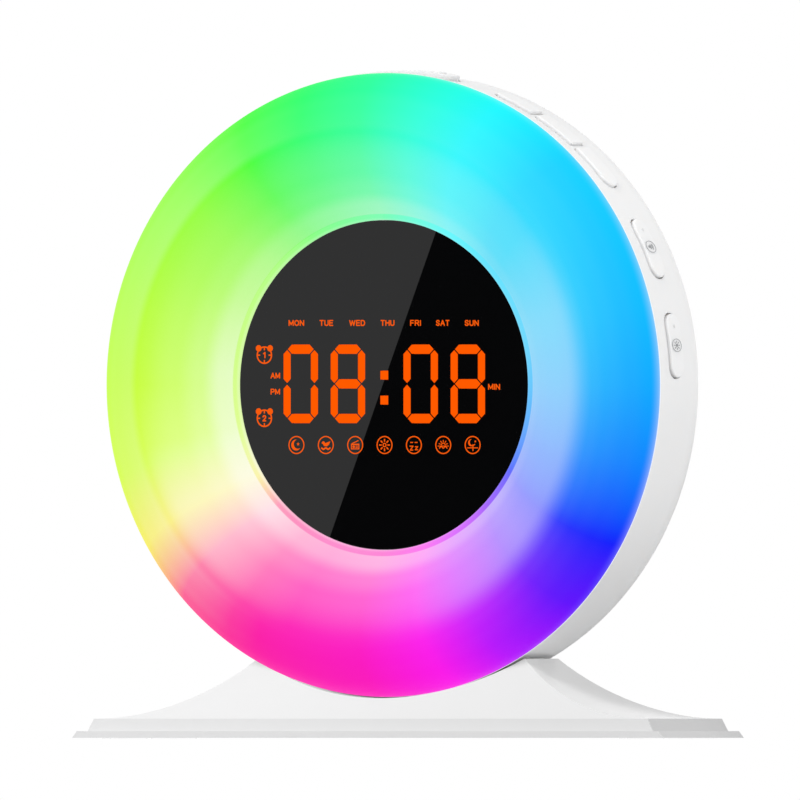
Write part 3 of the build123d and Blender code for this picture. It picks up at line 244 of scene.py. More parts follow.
def arc(x, z, radius, start, end, steps=16):
    """Points on an arc, its angles in degrees anticlockwise from the right."""
    turns = [radians(start + (end - start) * index / steps) for index in range(steps + 1)]
    return [(x + radius * cos(turn), z + radius * sin(turn)) for turn in turns]


ring_bulge = ring_radius - crest_radius
chamber_bulge = ring_bulge - ring_wall
wall_out, wall_back = 0.8, 0.6  # across the wall, square to the slope's foot
inner_foot = (lip_outer + ring_wall * wall_out, lip_height - ring_wall * wall_back)
section = arc(crest_radius, 0, ring_bulge, 0, 90, curve_steps)
section += slope_curve((crest_radius, ring_bulge), (lip_outer, lip_height), curve_steps)[1:]
section.append((lip_outer - lip_step, lip_height))
section += arc(
    lip_inner + lip_rounding, lip_height - lip_rounding, lip_rounding, 90, 180, lip_steps
)
section += [
    (lip_inner, ledge_front), (ledge_inner, ledge_front), (ledge_inner, ledge_back),
    (inner_foot[0], ledge_back),
]
section += slope_curve((crest_radius, chamber_bulge), inner_foot, chamber_steps)[::-1]
flange_turn = asin(flange_height / chamber_bulge) * 180 / pi
section += arc(crest_radius, 0, chamber_bulge, 90, flange_turn, chamber_steps)[1:]
section += [
    (skirt_inner, flange_height), (skirt_inner, -skirt_depth), (skirt_outer, -skirt_depth),
    (skirt_outer, 0),
]


def shape_tree(name, inputs):
    """Geometry Nodes tree with named inputs; returns it, its two end nodes and the identifiers."""
    tree = bpy.data.node_groups.new(name, "GeometryNodeTree")
    socket = tree.interface.new_socket
    socket("Geometry", in_out="INPUT", socket_type="NodeSocketGeometry")
    keys = {}
    for label, kind in inputs.items():
        keys[label] = socket(label, in_out="INPUT", socket_type="NodeSocket" + kind).identifier
    socket("Geometry", in_out="OUTPUT", socket_type="NodeSocketGeometry")
    return tree, tree.nodes.new("NodeGroupInput"), tree.nodes.new("NodeGroupOutput"), keys


def finish_tree(tree, shape, start, end):
    """Ends a tree in real geometry with the finish that its Finish input names."""
    real = node(tree, "GeometryNodeRealizeInstances", Geometry=shape).outputs[0]
    finish = start.outputs["Finish"]
    coated = node(tree, "GeometryNodeSetMaterial", Geometry=real, Material=finish)
    tree.links.new(coated.outputs[0], end.inputs[0])


def shaped(name, mesh, tree, keys, settings):
    """Object with the plain mesh that a tree makes of a start mesh."""
    piece = bpy.data.objects.new(name, mesh)
    scene.collection.objects.link(piece)
    maker = piece.modifiers.new(name, "NODES")
    maker.node_group = tree
    for label, value in settings.items():
        maker[keys[label]] = value
    bpy.context.view_layer.update()
    made = piece.evaluated_get(bpy.context.evaluated_depsgraph_get())
    result = bpy.data.meshes.new_from_object(made)
    piece.modifiers.remove(maker)
    piece.data = result
    return piece


# colours of the LEDs, clockwise from the top: position as a share of a turn, then the colour
led_colours = (
    (0.00, (0.0, 1.0, 0.33)),
    (0.04, (0.0, 1.0, 0.70)),
    (0.075, (0.0, 0.92, 1.0)),
    (0.12, (0.0, 0.64, 1.0)),
    (0.21, (0.0, 0.50, 1.0)),
    (0.25, (0.0, 0.40, 1.0)),
    (0.29, (0.0, 0.24, 1.0)),
    (0.335, (0.0, 0.01, 1.0)),
    (0.375, (0.12, 0.0, 1.0)),
    (0.42, (0.48, 0.0, 1.0)),
    (0.455, (1.0, 0.0, 0.84)),
    (0.50, (1.0, 0.0, 0.52)),
    (0.56, (1.0, 0.0, 0.40)),
    (0.625, (1.0, 0.0, 0.22)),
    (0.66, (0.96, 0.86, 0.0)),
    (0.70, (0.66, 1.0, 0.0)),
    (0.80, (0.43, 1.0, 0.0)),
    (0.87, (0.24, 1.0, 0.0)),
    (0.92, (0.02, 1.0, 0.0)),
    (0.96, (0.0, 1.0, 0.14)),
    (1.00, (0.0, 1.0, 0.33)),
)
# neighbouring colours mingle on the slope: by how much round the ring, and how far outwards
mingling = (
    (0.0, 0.0), (0.05, 0.1), (0.09, 0.4), (0.2, 0.36), (0.3, 0.22), (0.36, 0.35), (0.42, 0.48),
    (0.48, 0.22), (0.6, 0.15), (0.65, 0.0), (0.8, 0.12), (0.9, 0.12), (1.0, 0.0),
)
mingling_reach = ((60.0, 1.0), (68.0, 0.7), (79.0, 0.0))
# how pale the glow is round the ring, mostly painted highlights of the room's light: on the lip,
# just outside it, on the slope and on the shoulder
lip_painted_highlight = (
    (0.0, 0.17), (0.1, 0.11), (0.2, 0.11), (0.27, 0.07), (0.33, 0.08), (0.4, 0.15), (0.46, 0.2),
    (0.53, 0.27), (0.6, 0.29), (0.63, 0.37), (0.67, 0.44), (0.72, 0.28), (0.8, 0.24), (0.92, 0.24),
    (1.0, 0.19),
)
fold_painted_highlight = (
    (0.0, 0.3), (0.125, 0.1), (0.2, 0.06), (0.3, 0.06), (0.42, 0.26), (0.5, 0.43),
    (0.6, 0.35), (0.66, 0.3), (0.7, 0.45), (0.76, 0.5), (0.83, 0.28), (0.9, 0.2), (1.0, 0.3),
)
slope_painted_highlight = (
    (0.0, 0.08), (0.14, 0.09), (0.2, 0.23), (0.26, 0.28), (0.36, 0.29), (0.42, 0.17), (0.46, 0.08),
    (0.5, 0.05), (0.55, 0.05), (0.585, 0.13), (0.625, 0.43), (0.665, 0.46), (0.71, 0.15),
    (0.75, 0.07), (1.0, 0.08),
)
shoulder_painted_highlight = (
    (0.0, 0.05), (0.15, 0.03), (0.3, 0.022), (0.5, 0.01), (0.57, 0.015), (0.59, 0.05), (0.63, 0.27),
    (0.66, 0.3), (0.7, 0.17), (0.75, 0.14), (0.85, 0.16), (0.91, 0.13), (0.96, 0.055), (1.0, 0.05),
)
# how far each kind of paleness and painted highlight reaches, from the display outwards: radius in
# mm, then its share
lip_reach = ((43.6, 1.6), (44.0, 1.3), (44.3, 1.0), (45.05, 1.0), (45.25, 0.0))
fold_reach = ((45.05, 0.0), (45.35, 1.0), (47.2, 0.95), (51.5, 0.4), (57.0, 0.18), (66.0, 0.0))
slope_reach = ((45.05, 0.0), (45.35, 1.0), (62.5, 1.0), (70.5, 0.04), (74.0, 0.0))
shoulder_reach = ((63.0, 0.0), (66.5, 0.15), (69.5, 1.0), (75.0, 0.85), (79.0, 0.5), (82.5, 0.1))
reach_start = 43.0
reach_span = 40.0


def ramp(tree, value, stops, smooth=False):
    """Colour ramp over up to 32 stops; a plain number in place of a colour is a grey."""
    made = tree.nodes.new("ShaderNodeValToRGB")
    band = made.color_ramp
    band.interpolation = "EASE" if smooth else "LINEAR"
    while len(band.elements) < len(stops):
        band.elements.new(1.0)
    for element, (place, colour) in zip(band.elements, stops):
        element.position = place
        element.color = (*(colour if isinstance(colour, tuple) else (colour,) * 3), 1)
    feed(tree, made.inputs[0], value)
    return made.outputs[0]


def mixed(tree, kind, share, first, second):
    """Mix node for colours; returns the result."""
    made = tree.nodes.new("ShaderNodeMix")
    made.data_type = "RGBA"
    made.blend_type = kind
    feed(tree, made.inputs[0], share)
    feed(tree, made.inputs[6], first)
    feed(tree, made.inputs[7], second)
    return made.outputs[2]


def from_centre(tree):
    """Object coordinates counted from the middle of the drum's front."""
    place = tree.nodes.new("ShaderNodeTexCoord").outputs["Object"]
    return node(tree, "ShaderNodeMapping", Vector=place, Location=-seam_centre).outputs[0]


def noise(tree, place, scale, detail=2.0):
    """Noise texture; returns its grey value."""
    return node(tree, "ShaderNodeTexNoise", Vector=place, Scale=scale, Detail=detail).outputs[0]


def bumped(tree, height, strength, distance):
    """Bump node; returns the normal."""
    bump = node(tree, "ShaderNodeBump", Height=height, Strength=strength, Distance=distance)
    return bump.outputs[0]


def by_radius(stops):
    """Ramp stops given at a radius in mm, as shares of the span that the ramps cover."""
    return [((radius - reach_start) / reach_span, share) for radius, share in stops]


frosted_glow = bpy.data.materials.new("frosted_glow")
tree, output = new_tree(frosted_glow)
place = from_centre(tree)
across, depth, up = node(tree, "ShaderNodeSeparateXYZ", Vector=place).outputs
turn = maths(tree, "FRACT", maths(tree, "DIVIDE", maths(tree, "ARCTAN2", across, up), 2 * pi))
squares = maths(tree, "MULTIPLY_ADD", across, across, maths(tree, "MULTIPLY", up, up))
radius = maths(tree, "SQRT", squares)
reach = maths(tree, "MULTIPLY_ADD", radius, 1 / (reach_span * mm), -reach_start / reach_span)
paleness_and_highlight = 0.0
for round_ring, outwards in (
    (lip_painted_highlight, lip_reach), (fold_painted_highlight, fold_reach),
    (slope_painted_highlight, slope_reach), (shoulder_painted_highlight, shoulder_reach),
):
    extent = ramp(tree, reach, by_radius(outwards), smooth=True)
    part = maths(tree, "MULTIPLY", ramp(tree, turn, round_ring), extent)
    paleness_and_highlight = maths(tree, "ADD", paleness_and_highlight, part)
# painted highlights: the right-hand shoulder is painted paler again towards the seam, and a white
# highlight line is painted along the seam itself
seam_fade = 4.5 * mm
seam_line = 0.45 * mm
seam_line_highlight = 0.9
seam_painted_highlight = (
    (0.0, 0.16), (0.1, 0.1), (0.22, 0.3), (0.3, 0.3), (0.36, 0.05), (0.6, 0.0), (0.95, 0.05),
    (1.0, 0.16),
)
ahead = maths(tree, "MULTIPLY", depth, -1)
near_seam = maths(tree, "SUBTRACT", 1.0, maths(tree, "DIVIDE", ahead, seam_fade), clamp=True)
seam_share = maths(tree, "POWER", near_seam, 2.0)
seam_highlight = maths(tree, "MULTIPLY", seam_share, ramp(tree, turn, seam_painted_highlight))
paleness_and_highlight = maths(tree, "ADD", paleness_and_highlight, seam_highlight, clamp=True)
on_seam_highlight = maths(tree, "GREATER_THAN", depth, -seam_line)
paleness_and_highlight = maths(tree, "MAXIMUM", paleness_and_highlight, maths(tree, "MULTIPLY", on_seam_highlight, seam_line_highlight))
mingling_share = ramp(tree, reach, by_radius(mingling_reach))
mingled = maths(tree, "MULTIPLY", ramp(tree, turn, mingling), mingling_share)
softness = maths(tree, "SUBTRACT", 1.0, mingled)
pure = node(tree, "ShaderNodeGamma", Color=ramp(tree, turn, led_colours), Gamma=softness).outputs[0]
# painted highlights: the paleness mixes white into the LEDs' colours before they glow
glow_and_highlight = mixed(tree, "MIX", paleness_and_highlight, pure, (1, 1, 1, 1))
glow_share = 0.86               # the rest of its brightness is light from the room
room_share = (1 - glow_share,) * 3 + (1,)
frosting = noise(tree, place, scale=2600, detail=3.0)
surface = node(
    tree, "ShaderNodeBsdfPrincipled", Base_Color=mixed(tree, "MULTIPLY", 1.0, glow_and_highlight, room_share),
    Emission_Color=glow_and_highlight, Emission_Strength=glow_share, Roughness=0.5, Specular_IOR_Level=0.05,
    Normal=bumped(tree, frosting, strength=0.12, distance=0.02 * mm),
)
tree.links.new(surface.outputs[0], output.inputs["Surface"])

turning, start, end, keys = shape_tree(
    "ring_turning",
    {
        "Crest radius": "Float", "Turns": "Int", "Lean": "Vector", "Centre": "Vector",
        "Finish": "Material",
    },
)
outline = node(turning, "GeometryNodeMeshToCurve", Mesh=start.outputs["Geometry"]).outputs[0]
circle = node(
    turning, "GeometryNodeCurvePrimitiveCircle", Resolution=start.outputs["Turns"],
    Radius=start.outputs["Crest radius"],
)
swept = node(
    turning, "GeometryNodeCurveToMesh", Curve=circle.outputs[0], Profile_Curve=outline
)
upright = node(
    turning, "GeometryNodeTransform", Geometry=swept.outputs[0], Rotation=start.outputs["Lean"],
    Translation=start.outputs["Centre"],
)
finish_tree(turning, upright.outputs[0], start, end)

section_mesh = bpy.data.meshes.new("ring_section")
section_mesh.from_pydata(
    [(radius - crest_radius, height, 0) for radius, height in section],
    [(index, (index + 1) % len(section)) for index in range(len(section))],
    [],
)
light_ring = shaped(
    "light_ring", section_mesh, turning, keys,
    {
        "Crest radius": crest_radius, "Turns": ring_turns, "Lean": (radians(-90), 0, 0),
        "Centre": seam_centre, "Finish": frosted_glow,
    },
)
light_ring.data.shade_smooth()
light_ring.data.set_sharp_from_angle(angle=radians(20))
light_ring.visible_diffuse = False
light_ring.visible_glossy = False
light_ring.visible_shadow = False
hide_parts("diffuser_ring")
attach(light_ring, "clock")

# ------------------------------------------------------------------ display window
# Smoked acrylic disc, polished, taped to the ring's ledge just behind the lip. It has windows
# for the lit parts of the display.


def assign(material, *names):
    """Gives CAD nodes their finish."""
    for name in names:
        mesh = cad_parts[name].data
        mesh.materials.clear()
        mesh.materials.append(material)


tone_patches = 22.0             # scale of the uneven tone and gloss
gloss_swing = 0.12


def moulded(name, colour, roughness, grain=900.0, relief=0.01, shade=0.04, **sockets):
    """Moulded, coated or metal surface: fine grain, its relief in mm, and faintly uneven tone."""
    material = bpy.data.materials.new(name)
    tree, output = new_tree(material)
    place = from_centre(tree)
    patches = noise(tree, place, tone_patches)
    deeper = tuple(channel * (1 - shade) for channel in colour)
    smoothest = roughness * (1 - gloss_swing / 2)
    fine = noise(tree, place, grain, detail=4.0)
    surface = node(
        tree, "ShaderNodeBsdfPrincipled", **sockets,
        Base_Color=mixed(tree, "MIX", patches, (*deeper, 1), (*colour, 1)),
        Roughness=maths(tree, "MULTIPLY_ADD", patches, gloss_swing * roughness, smoothest),
        Normal=bumped(tree, fine, strength=0.25, distance=relief * mm),
    )
    tree.links.new(surface.outputs[0], output.inputs["Surface"])
    return material


smoked_lens = moulded("smoked_lens", (0.0022, 0.0023, 0.0026), 0.004, relief=0.0, IOR=1.4)
assign(smoked_lens, "display_lens")

# ------------------------------------------------------------------ digits
# Four seven-segment digits and a colon of squares, set flush in windows of the display. Each
# segment is a light pipe with pointed ends. Both zeros keep their middle segment dark.

lens_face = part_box("display_lens")[0].y
digit_half_height = 9.16 * mm
digit_width = 8.23 * mm
digit_rise = 0.3 * mm
digit_middles = (-25.2 * mm, -10.98 * mm, 10.98 * mm, 25.2 * mm)
upright_stroke = 2.1 * mm
level_stroke = 2.4 * mm
segment_gap = 0.5 * mm
window_clearance = 0.05 * mm
colon_size = 2.3 * mm
colon_pitch = 6.6 * mm
colon_drop = 0.7 * mm
pipe_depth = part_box("digit_segments")[1].y - lens_face


def capped(name, shapes):
    """Piece of solid shapes, each given as its near and its far outline."""
    solid = bmesh.new()
    for outlines in shapes:
        near, far = [[solid.verts.new(point) for point in outline] for outline in outlines]
        solid.faces.new(near)
        solid.faces.new(far[::-1])
        for index in range(len(near)):
            after = (index + 1) % len(near)
            solid.faces.new((near[index], far[index], far[after], near[after]))
    bmesh.ops.recalc_face_normals(solid, faces=solid.faces)
    mesh = bpy.data.meshes.new(name)
    solid.to_mesh(mesh)
    solid.free()
    piece = bpy.data.objects.new(name, mesh)
    scene.collection.objects.link(piece)
    return piece


def prisms(name, outlines, front, depth):
    """Flat shapes of closed (x, z) outlines about the axis, each made a prism that reaches back."""
    shapes = []
    for outline in outlines:
        near = [(x, front, axis_z + z) for x, z in outline]
        far = [(x, front + depth, axis_z + z) for x, z in outline]
        shapes.append((near, far))
    return capped(name, shapes)


def segment(centre_x, centre_z, length, stroke, upright):
    """Outline of one pointed segment."""
    tip = stroke / 2
    half = length / 2
    points = [
        (-half, 0), (tip - half, tip), (half - tip, tip),
        (half, 0), (half - tip, -tip), (tip - half, -tip),
    ]
    if upright:
        points = [(-z, x) for x, z in points]
    return [(centre_x + x, centre_z + z) for x, z in points]


def digit(middle, grow):
    """The seven segments of one digit by their usual letters, each grown on every side."""
    cells = {}
    for letter, row in (("a", 1), ("g", 0), ("d", -1)):
        centre_z = digit_rise + row * digit_half_height
        length = digit_width - segment_gap + 2 * grow
        cells[letter] = segment(middle, centre_z, length, level_stroke + 2 * grow, False)
    for letter, side, row in (("f", -1, 1), ("b", 1, 1), ("e", -1, -1), ("c", 1, -1)):
        centre_x = middle + side * digit_width / 2
        centre_z = digit_rise + row * digit_half_height / 2
        length = digit_half_height - segment_gap + 2 * grow
        cells[letter] = segment(centre_x, centre_z, length, upright_stroke + 2 * grow, True)
    return cells


def square(x, z, half):
    """Outline of a square."""
    return [(x - half, z - half), (x + half, z - half), (x + half, z + half), (x - half, z + half)]


shown_time = ("abcdef", "abcdefg", "abcdef", "abcdefg")         # 08:08, by the segments that glow
lit, unlit = [], []
for middle, glowing in zip(digit_middles, shown_time):
    lit += [cell for letter, cell in digit(middle, 0).items() if letter in glowing]
    windows = digit(middle, window_clearance)
    unlit += [cell for letter, cell in windows.items() if letter not in glowing]
for side in (-1, 1):
    lit.append(square(0, side * colon_pitch / 2 - colon_drop, colon_size / 2))


def lit_finish(name, colour, strength):
    """Lit display part: even glow, with a diffuser's faint mottling."""
    material = bpy.data.materials.new(name)
    tree, output = new_tree(material)
    mottling = noise(tree, from_centre(tree), scale=700)
    dimmer = tuple(channel * 0.96 for channel in colour)
    tone = mixed(tree, "MIX", mottling, (*dimmer, 1), (*colour, 1))
    surface = node(
        tree, "ShaderNodeBsdfPrincipled", Emission_Color=tone, Emission_Strength=strength,
        Base_Color=mixed(tree, "MULTIPLY", 1.0, tone, (0.05, 0.05, 0.05, 1)), Roughness=0.3,
        Specular_IOR_Level=0.0,
    )
    tree.links.new(surface.outputs[0], output.inputs["Surface"])
    return material


segment_glow = lit_finish("segment_glow", (1.0, 0.102, 0.0), 0.98)
lit_segments = prisms("lit_segments", lit, lens_face, pipe_depth)
lit_segments.data.materials.append(segment_glow)
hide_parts("digit_segments")
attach(lit_segments, "clock")
dark_segments = prisms("dark_segments", unlit, lens_face, pipe_depth)
dark_segments.data.materials.append(smoked_lens)
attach(dark_segments, "clock")

# ------------------------------------------------------------------ words
# Weekday names, AM, PM and MIN in plain capitals. They are printed on the display as a thin film
# that is lit in nearly the same orange as the digits.

print_height = 0.03 * mm
print_face = lens_face - print_height
letter_line = 0.31
letter_spacing = 0.34           # as a share of the letters' height
word_height = 1.6
# each letter as pen lines in a box of height 1, and the box's width
letters = {
    "A": (0.86, [[(0, 0), (0.43, 1), (0.86, 0)], [(0.17, 0.36), (0.69, 0.36)]]),
    "D": (0.76, [
        [(0, 0), (0, 1), (0.42, 1), (0.68, 0.84), (0.76, 0.5), (0.68, 0.16), (0.42, 0), (0, 0)],
    ]),
    "E": (0.66, [[(0.66, 1), (0, 1), (0, 0), (0.66, 0)], [(0, 0.52), (0.58, 0.52)]]),
    "F": (0.6, [[(0.6, 1), (0, 1), (0, 0)], [(0, 0.5), (0.52, 0.5)]]),
    "H": (0.74, [[(0, 0), (0, 1)], [(0.74, 0), (0.74, 1)], [(0, 0.52), (0.74, 0.52)]]),
    "I": (0.0, [[(0, 0), (0, 1)]]),
    "M": (0.9, [[(0, 0), (0, 1), (0.45, 0.16), (0.9, 1), (0.9, 0)]]),
    "N": (0.74, [[(0, 0), (0, 1), (0.74, 0), (0.74, 1)]]),
    "O": (0.84, [
        [(0.42, 1), (0.76, 0.86), (0.84, 0.5), (0.76, 0.14), (0.42, 0), (0.08, 0.14), (0, 0.5),
         (0.08, 0.86), (0.42, 1)],
    ]),
    "P": (0.66, [
        [(0, 0), (0, 1), (0.46, 1), (0.66, 0.86), (0.66, 0.6), (0.46, 0.46), (0, 0.46)],
    ]),
    "R": (0.72, [
        [(0, 0), (0, 1), (0.5, 1), (0.68, 0.86), (0.68, 0.62), (0.5, 0.48), (0, 0.48)],
        [(0.42, 0.48), (0.72, 0)],
    ]),
    "S": (0.68, [
        [(0.66, 0.78), (0.52, 0.98), (0.16, 0.98), (0.02, 0.76), (0.16, 0.56), (0.54, 0.44),
         (0.68, 0.24), (0.52, 0.02), (0.16, 0.02), (0, 0.22)],
    ]),
    "T": (0.72, [[(0, 1), (0.72, 1)], [(0.36, 1), (0.36, 0)]]),
    "U": (0.72, [
        [(0, 1), (0, 0.26), (0.12, 0.06), (0.36, 0), (0.6, 0.06), (0.72, 0.26), (0.72, 1)],
    ]),
    "W": (1.16, [[(0, 1), (0.28, 0), (0.58, 0.94), (0.88, 0), (1.16, 1)]]),
    "1": (0.3, [[(0, 0.78), (0.26, 1), (0.26, 0)]]),
    "2": (0.62, [
        [(0, 0.76), (0.14, 0.98), (0.46, 0.98), (0.62, 0.76), (0.5, 0.48), (0, 0), (0.62, 0)],
    ]),
}
# word, its middle, its width and its baseline, in mm from the display's centre
words = (
    ("MON", -26.5, 4.7, 15.6),
    ("TUE", -17.45, 4.15, 15.6),
    ("WED", -8.15, 4.8, 15.6),
    ("THU", 1.0, 4.2, 15.6),
    ("FRI", 9.45, 3.25, 15.6),
    ("SAT", 17.65, 4.1, 15.6),
    ("SUN", 26.4, 4.25, 15.6),
    ("AM", -32.85, 2.9, 1.67),
    ("PM", -32.85, 2.85, -2.58),
    ("MIN", 33.15, 3.6, -1.28),
)
pen_overrun = 0.7               # past both ends of a pull, as a share of half the line


def pen(points, width):
    """Outlines of a pen's straight pulls from point to point, each with square ends."""
    pulls = []
    for (x, z), (next_x, next_z) in zip(points, points[1:]):
        along = Vector((next_x - x, next_z - z)).normalized() * width / 2
        side = Vector((-along.y, along.x))
        first = Vector((x, z)) - along * pen_overrun
        last = Vector((next_x, next_z)) + along * pen_overrun
        corners = (first + side, last + side, last - side, first - side)
        pulls.append([tuple(corner) for corner in corners])
    return pulls


def written(text, middle, width, base, height, line):
    """Outlines of a word in capitals, in mm, between its own edges."""
    full = sum(letters[letter][0] for letter in text) + letter_spacing * (len(text) - 1)
    tall = height - line
    wide = (width - line) / full
    x = middle - full * wide / 2
    shapes = []
    for letter in text:
        letter_width, pulls = letters[letter]
        for points in pulls:
            placed = [(x + px * wide, base + line / 2 + pz * tall) for px, pz in points]
            shapes += pen(placed, line)
        x += (letter_width + letter_spacing) * wide
    return shapes


def printed(name, outlines):
    """Thin raised print on the display, from outlines in mm; one piece."""
    outlines = [[(x * mm, z * mm) for x, z in outline] for outline in outlines]
    piece = prisms(name, outlines, print_face, print_height)
    piece.data.materials.append(word_glow)
    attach(piece, "clock")
    return piece


word_glow = lit_finish("word_glow", (0.96, 0.11, 0.004), 0.96)
word_shapes = []
for text, middle, width, base in words:
    word_shapes += written(text, middle, width, base, word_height, letter_line)
printed("display_words", word_shapes)

# ------------------------------------------------------------------ signs
# Seven round mode signs in a row and the signs of two alarms, printed like the words: night,
# birdsong, radio, sun, sleep, sunrise, sunset, and twice an alarm clock with its number.

sign_line = 0.27
mode_pitch = 8.86
mode_middle = 0.1
mode_z = -15.87
frame_radius = 2.25
frame_line = 0.3
alarm_x = -36.15
alarm_radius = 2.15
alarm_line = 0.38
hour_inner, hour_outer = 1.4, 2.0
hour_line = 0.34
bell_x, bell_z = 1.72, 1.8
bell_radius = 0.86
number_height = 1.7
number_line = 0.34


def disc(x, z, radius, steps=20, width=None):
    """Outline of a filled circle, or of an ellipse where its width is given."""
    wide = radius if width is None else width / 2
    turns = [2 * pi * index / steps for index in range(steps)]
    return [(x + wide * cos(turn), z + radius * sin(turn)) for turn in turns]


def ribbon(points, width):
    """Outline of a smooth line of even width."""
    left, right = [], []
    for index, (x, z) in enumerate(points):
        before, after = points[max(index - 1, 0)], points[min(index + 1, len(points) - 1)]
        along = Vector((after[0] - before[0], after[1] - before[1])).normalized() * width / 2
        left.append((x - along.y, z + along.x))
        right.append((x + along.y, z - along.x))
    return left + right[::-1]


def hoop(x, z, radius, width):
    """Ring drawn as two half arcs, so that each outline stays simple."""
    return [ribbon(arc(x, z, radius, start, start + 180, 20), width) for start in (0, 180)]


def crescent(x, z, radius, tilt):
    """Moon with its horns turned by tilt degrees."""
    turn = radians(tilt)
    moon = arc(0, 0, radius, 57, 303, 24) + arc(radius * 0.4, 0, radius * 0.85, 280, 80)
    return [(x + a * cos(turn) - b * sin(turn), z + a * sin(turn) + b * cos(turn)) for a, b in moon]


def star(x, z, radius):
    """Star with five points."""
    reaches = [radius, radius * 0.42] * 5
    turns = [pi * index / 5 for index in range(len(reaches))]
    return [(x + r * sin(turn), z + r * cos(turn)) for r, turn in zip(reaches, turns)]


def wave(x, z, length, height, crests, width):
    """Wavy line."""
    steps = crests * 8
    swing = [(index / steps, 2 * pi * crests * index / steps) for index in range(steps + 1)]
    line = [(x + length * (share - 0.5), z + height / 2 * cos(turn)) for share, turn in swing]
    return ribbon(line, width)


def rays(x, z, inner, outer, count, first, step, width):
    """Straight rays round a point, from the first angle on, a step apart, in degrees."""
    shapes = []
    for index in range(count):
        turn = radians(first + step * index)
        ends = [(x + reach * cos(turn), z + reach * sin(turn)) for reach in (inner, outer)]
        shapes += pen(ends, width)
    return shapes


def box(left, low, right, high):
    """Outline of an upright rectangle."""
    return [(left, high), (right, high), (right, low), (left, low)]


# each sign's outlines, in mm from its middle
night = [crescent(-0.1, 0, 1.45, 25), star(0.5, 0.25, 0.5)]
bird = [
    (-1.3, 0.5), (-0.95, 0.95), (-0.5, 0.95), (-0.2, 0.5), (0.3, 0.65), (1.35, 1.0), (1.0, 0.15),
    (0.35, -0.35), (-0.5, -0.3), (-0.85, 0.25),
]
birdsong = [bird, wave(0, -0.95, 2.8, 0.34, 2, 0.42)]
radio = [
    box(-1.25, 0.0, 1.25, 0.35), box(-1.25, -1.15, 1.25, -0.9),
    box(-1.25, -1.0, -1.0, 0.1), box(1.0, -1.0, 1.25, 0.1),
    disc(-0.45, -0.45, 0.36), *pen([(0.2, -0.28), (0.8, -0.28)], 0.2),
    *pen([(0.2, -0.64), (0.8, -0.64)], 0.2), *pen([(-0.9, 0.4), (0.9, 1.15)], 0.24),
]
sun = [*hoop(0, 0, 0.45, sign_line), *rays(0, 0, 1.0, 1.5, 8, 0, 45, 0.36)]
sleep = [
    *pen([(-1.0, 0.68), (-0.35, 0.68)], sign_line), *pen([(0.35, 0.68), (1.0, 0.68)], sign_line),
    *pen([(-1.2, -0.3), (-0.25, -0.3), (-1.1, -1.35), (-0.3, -1.35)], sign_line),
    *pen([(0.4, -0.45), (1.15, -0.45), (0.4, -1.25), (1.15, -1.25)], 0.26),
]
sunrise = [
    ribbon(arc(0, -0.1, 0.6, 0, 180, 14), 0.25), *rays(0, -0.1, 0.95, 1.35, 5, 20, 35, 0.24),
    *pen([(-1.6, -0.28), (1.6, -0.28)], 0.22),
    *[ribbon(arc(x, -0.95, 0.5, 0, 180, 10), 0.25) for x in (-0.62, 0.62)],
]
sunset = [
    crescent(-0.4, 0.6, 0.95, 25), star(0.8, 0.95, 0.36), *pen([(0.1, 0.1), (0.1, -1.5)], 0.26),
    *pen([(0.1, -0.25), (0.65, 0.2)], 0.22), *pen([(-1.55, -0.75), (1.55, -0.75)], 0.24),
]
mode_signs = (night, birdsong, radio, sun, sleep, sunrise, sunset)
middle_sign = mode_signs.index(sun)
sign_shapes = []
for index, shapes in enumerate(mode_signs):
    x = mode_middle + (index - middle_sign) * mode_pitch
    sign_shapes += [[(x + px, mode_z + pz) for px, pz in shape] for shape in shapes]
# both alarms: number, its width and the height of the sign's middle
for number, width, z in (("1", 0.8, 7.89), ("2", 1.15, -8.8)):
    sign_shapes += hoop(alarm_x, z, alarm_radius, alarm_line)
    sign_shapes += rays(alarm_x, z, hour_inner, hour_outer, 4, 0, 90, hour_line)
    for side in (-1, 1):
        sign_shapes.append(disc(alarm_x + side * bell_x, z + bell_z, bell_radius))
    base = z - number_height / 2
    sign_shapes += written(number, alarm_x, width, base, number_height, number_line)
printed("display_signs", sign_shapes)

# the round frames of the mode signs
framing, start, end, keys = shape_tree(
    "sign_frames",
    {
        "Count": "Int", "First": "Vector", "Pitch": "Vector", "Radius": "Float", "Line": "Float",
        "Height": "Float", "Lean": "Vector", "Finish": "Material",
    },
)
row = node(
    framing, "GeometryNodeMeshLine", Count=start.outputs["Count"],
    Start_Location=start.outputs["First"], Offset=start.outputs["Pitch"],
)
circle = node(
    framing, "GeometryNodeCurvePrimitiveCircle", Resolution=48, Radius=start.outputs["Radius"]
)
strip = node(
    framing, "GeometryNodeCurvePrimitiveQuadrilateral", Width=start.outputs["Line"],
    Height=start.outputs["Height"],
)
hooped = node(
    framing, "GeometryNodeCurveToMesh", Curve=circle.outputs[0], Profile_Curve=strip.outputs[0]
)
frames = node(
    framing, "GeometryNodeInstanceOnPoints", Points=row.outputs[0], Instance=hooped.outputs[0],
    Rotation=start.outputs["Lean"],
)
finish_tree(framing, frames.outputs[0], start, end)
first_x = mode_middle - middle_sign * mode_pitch
sign_frames = shaped(
    "sign_frames", bpy.data.meshes.new("frame_row"), framing, keys,
    {
        "Count": len(mode_signs), "Lean": (radians(90), 0, 0), "Finish": word_glow,
        "First": (first_x * mm, lens_face - print_height / 2, axis_z + mode_z * mm),
        "Pitch": (mode_pitch * mm, 0, 0), "Radius": frame_radius * mm, "Line": frame_line * mm,
        "Height": print_height,
    },
)
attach(sign_frames, "clock")

# ------------------------------------------------------------------ housing and stand
# Injection-moulded white plastic: the drum slightly matt, the stand with a harder gloss. A pad of
# soft white rubber lies between the two.

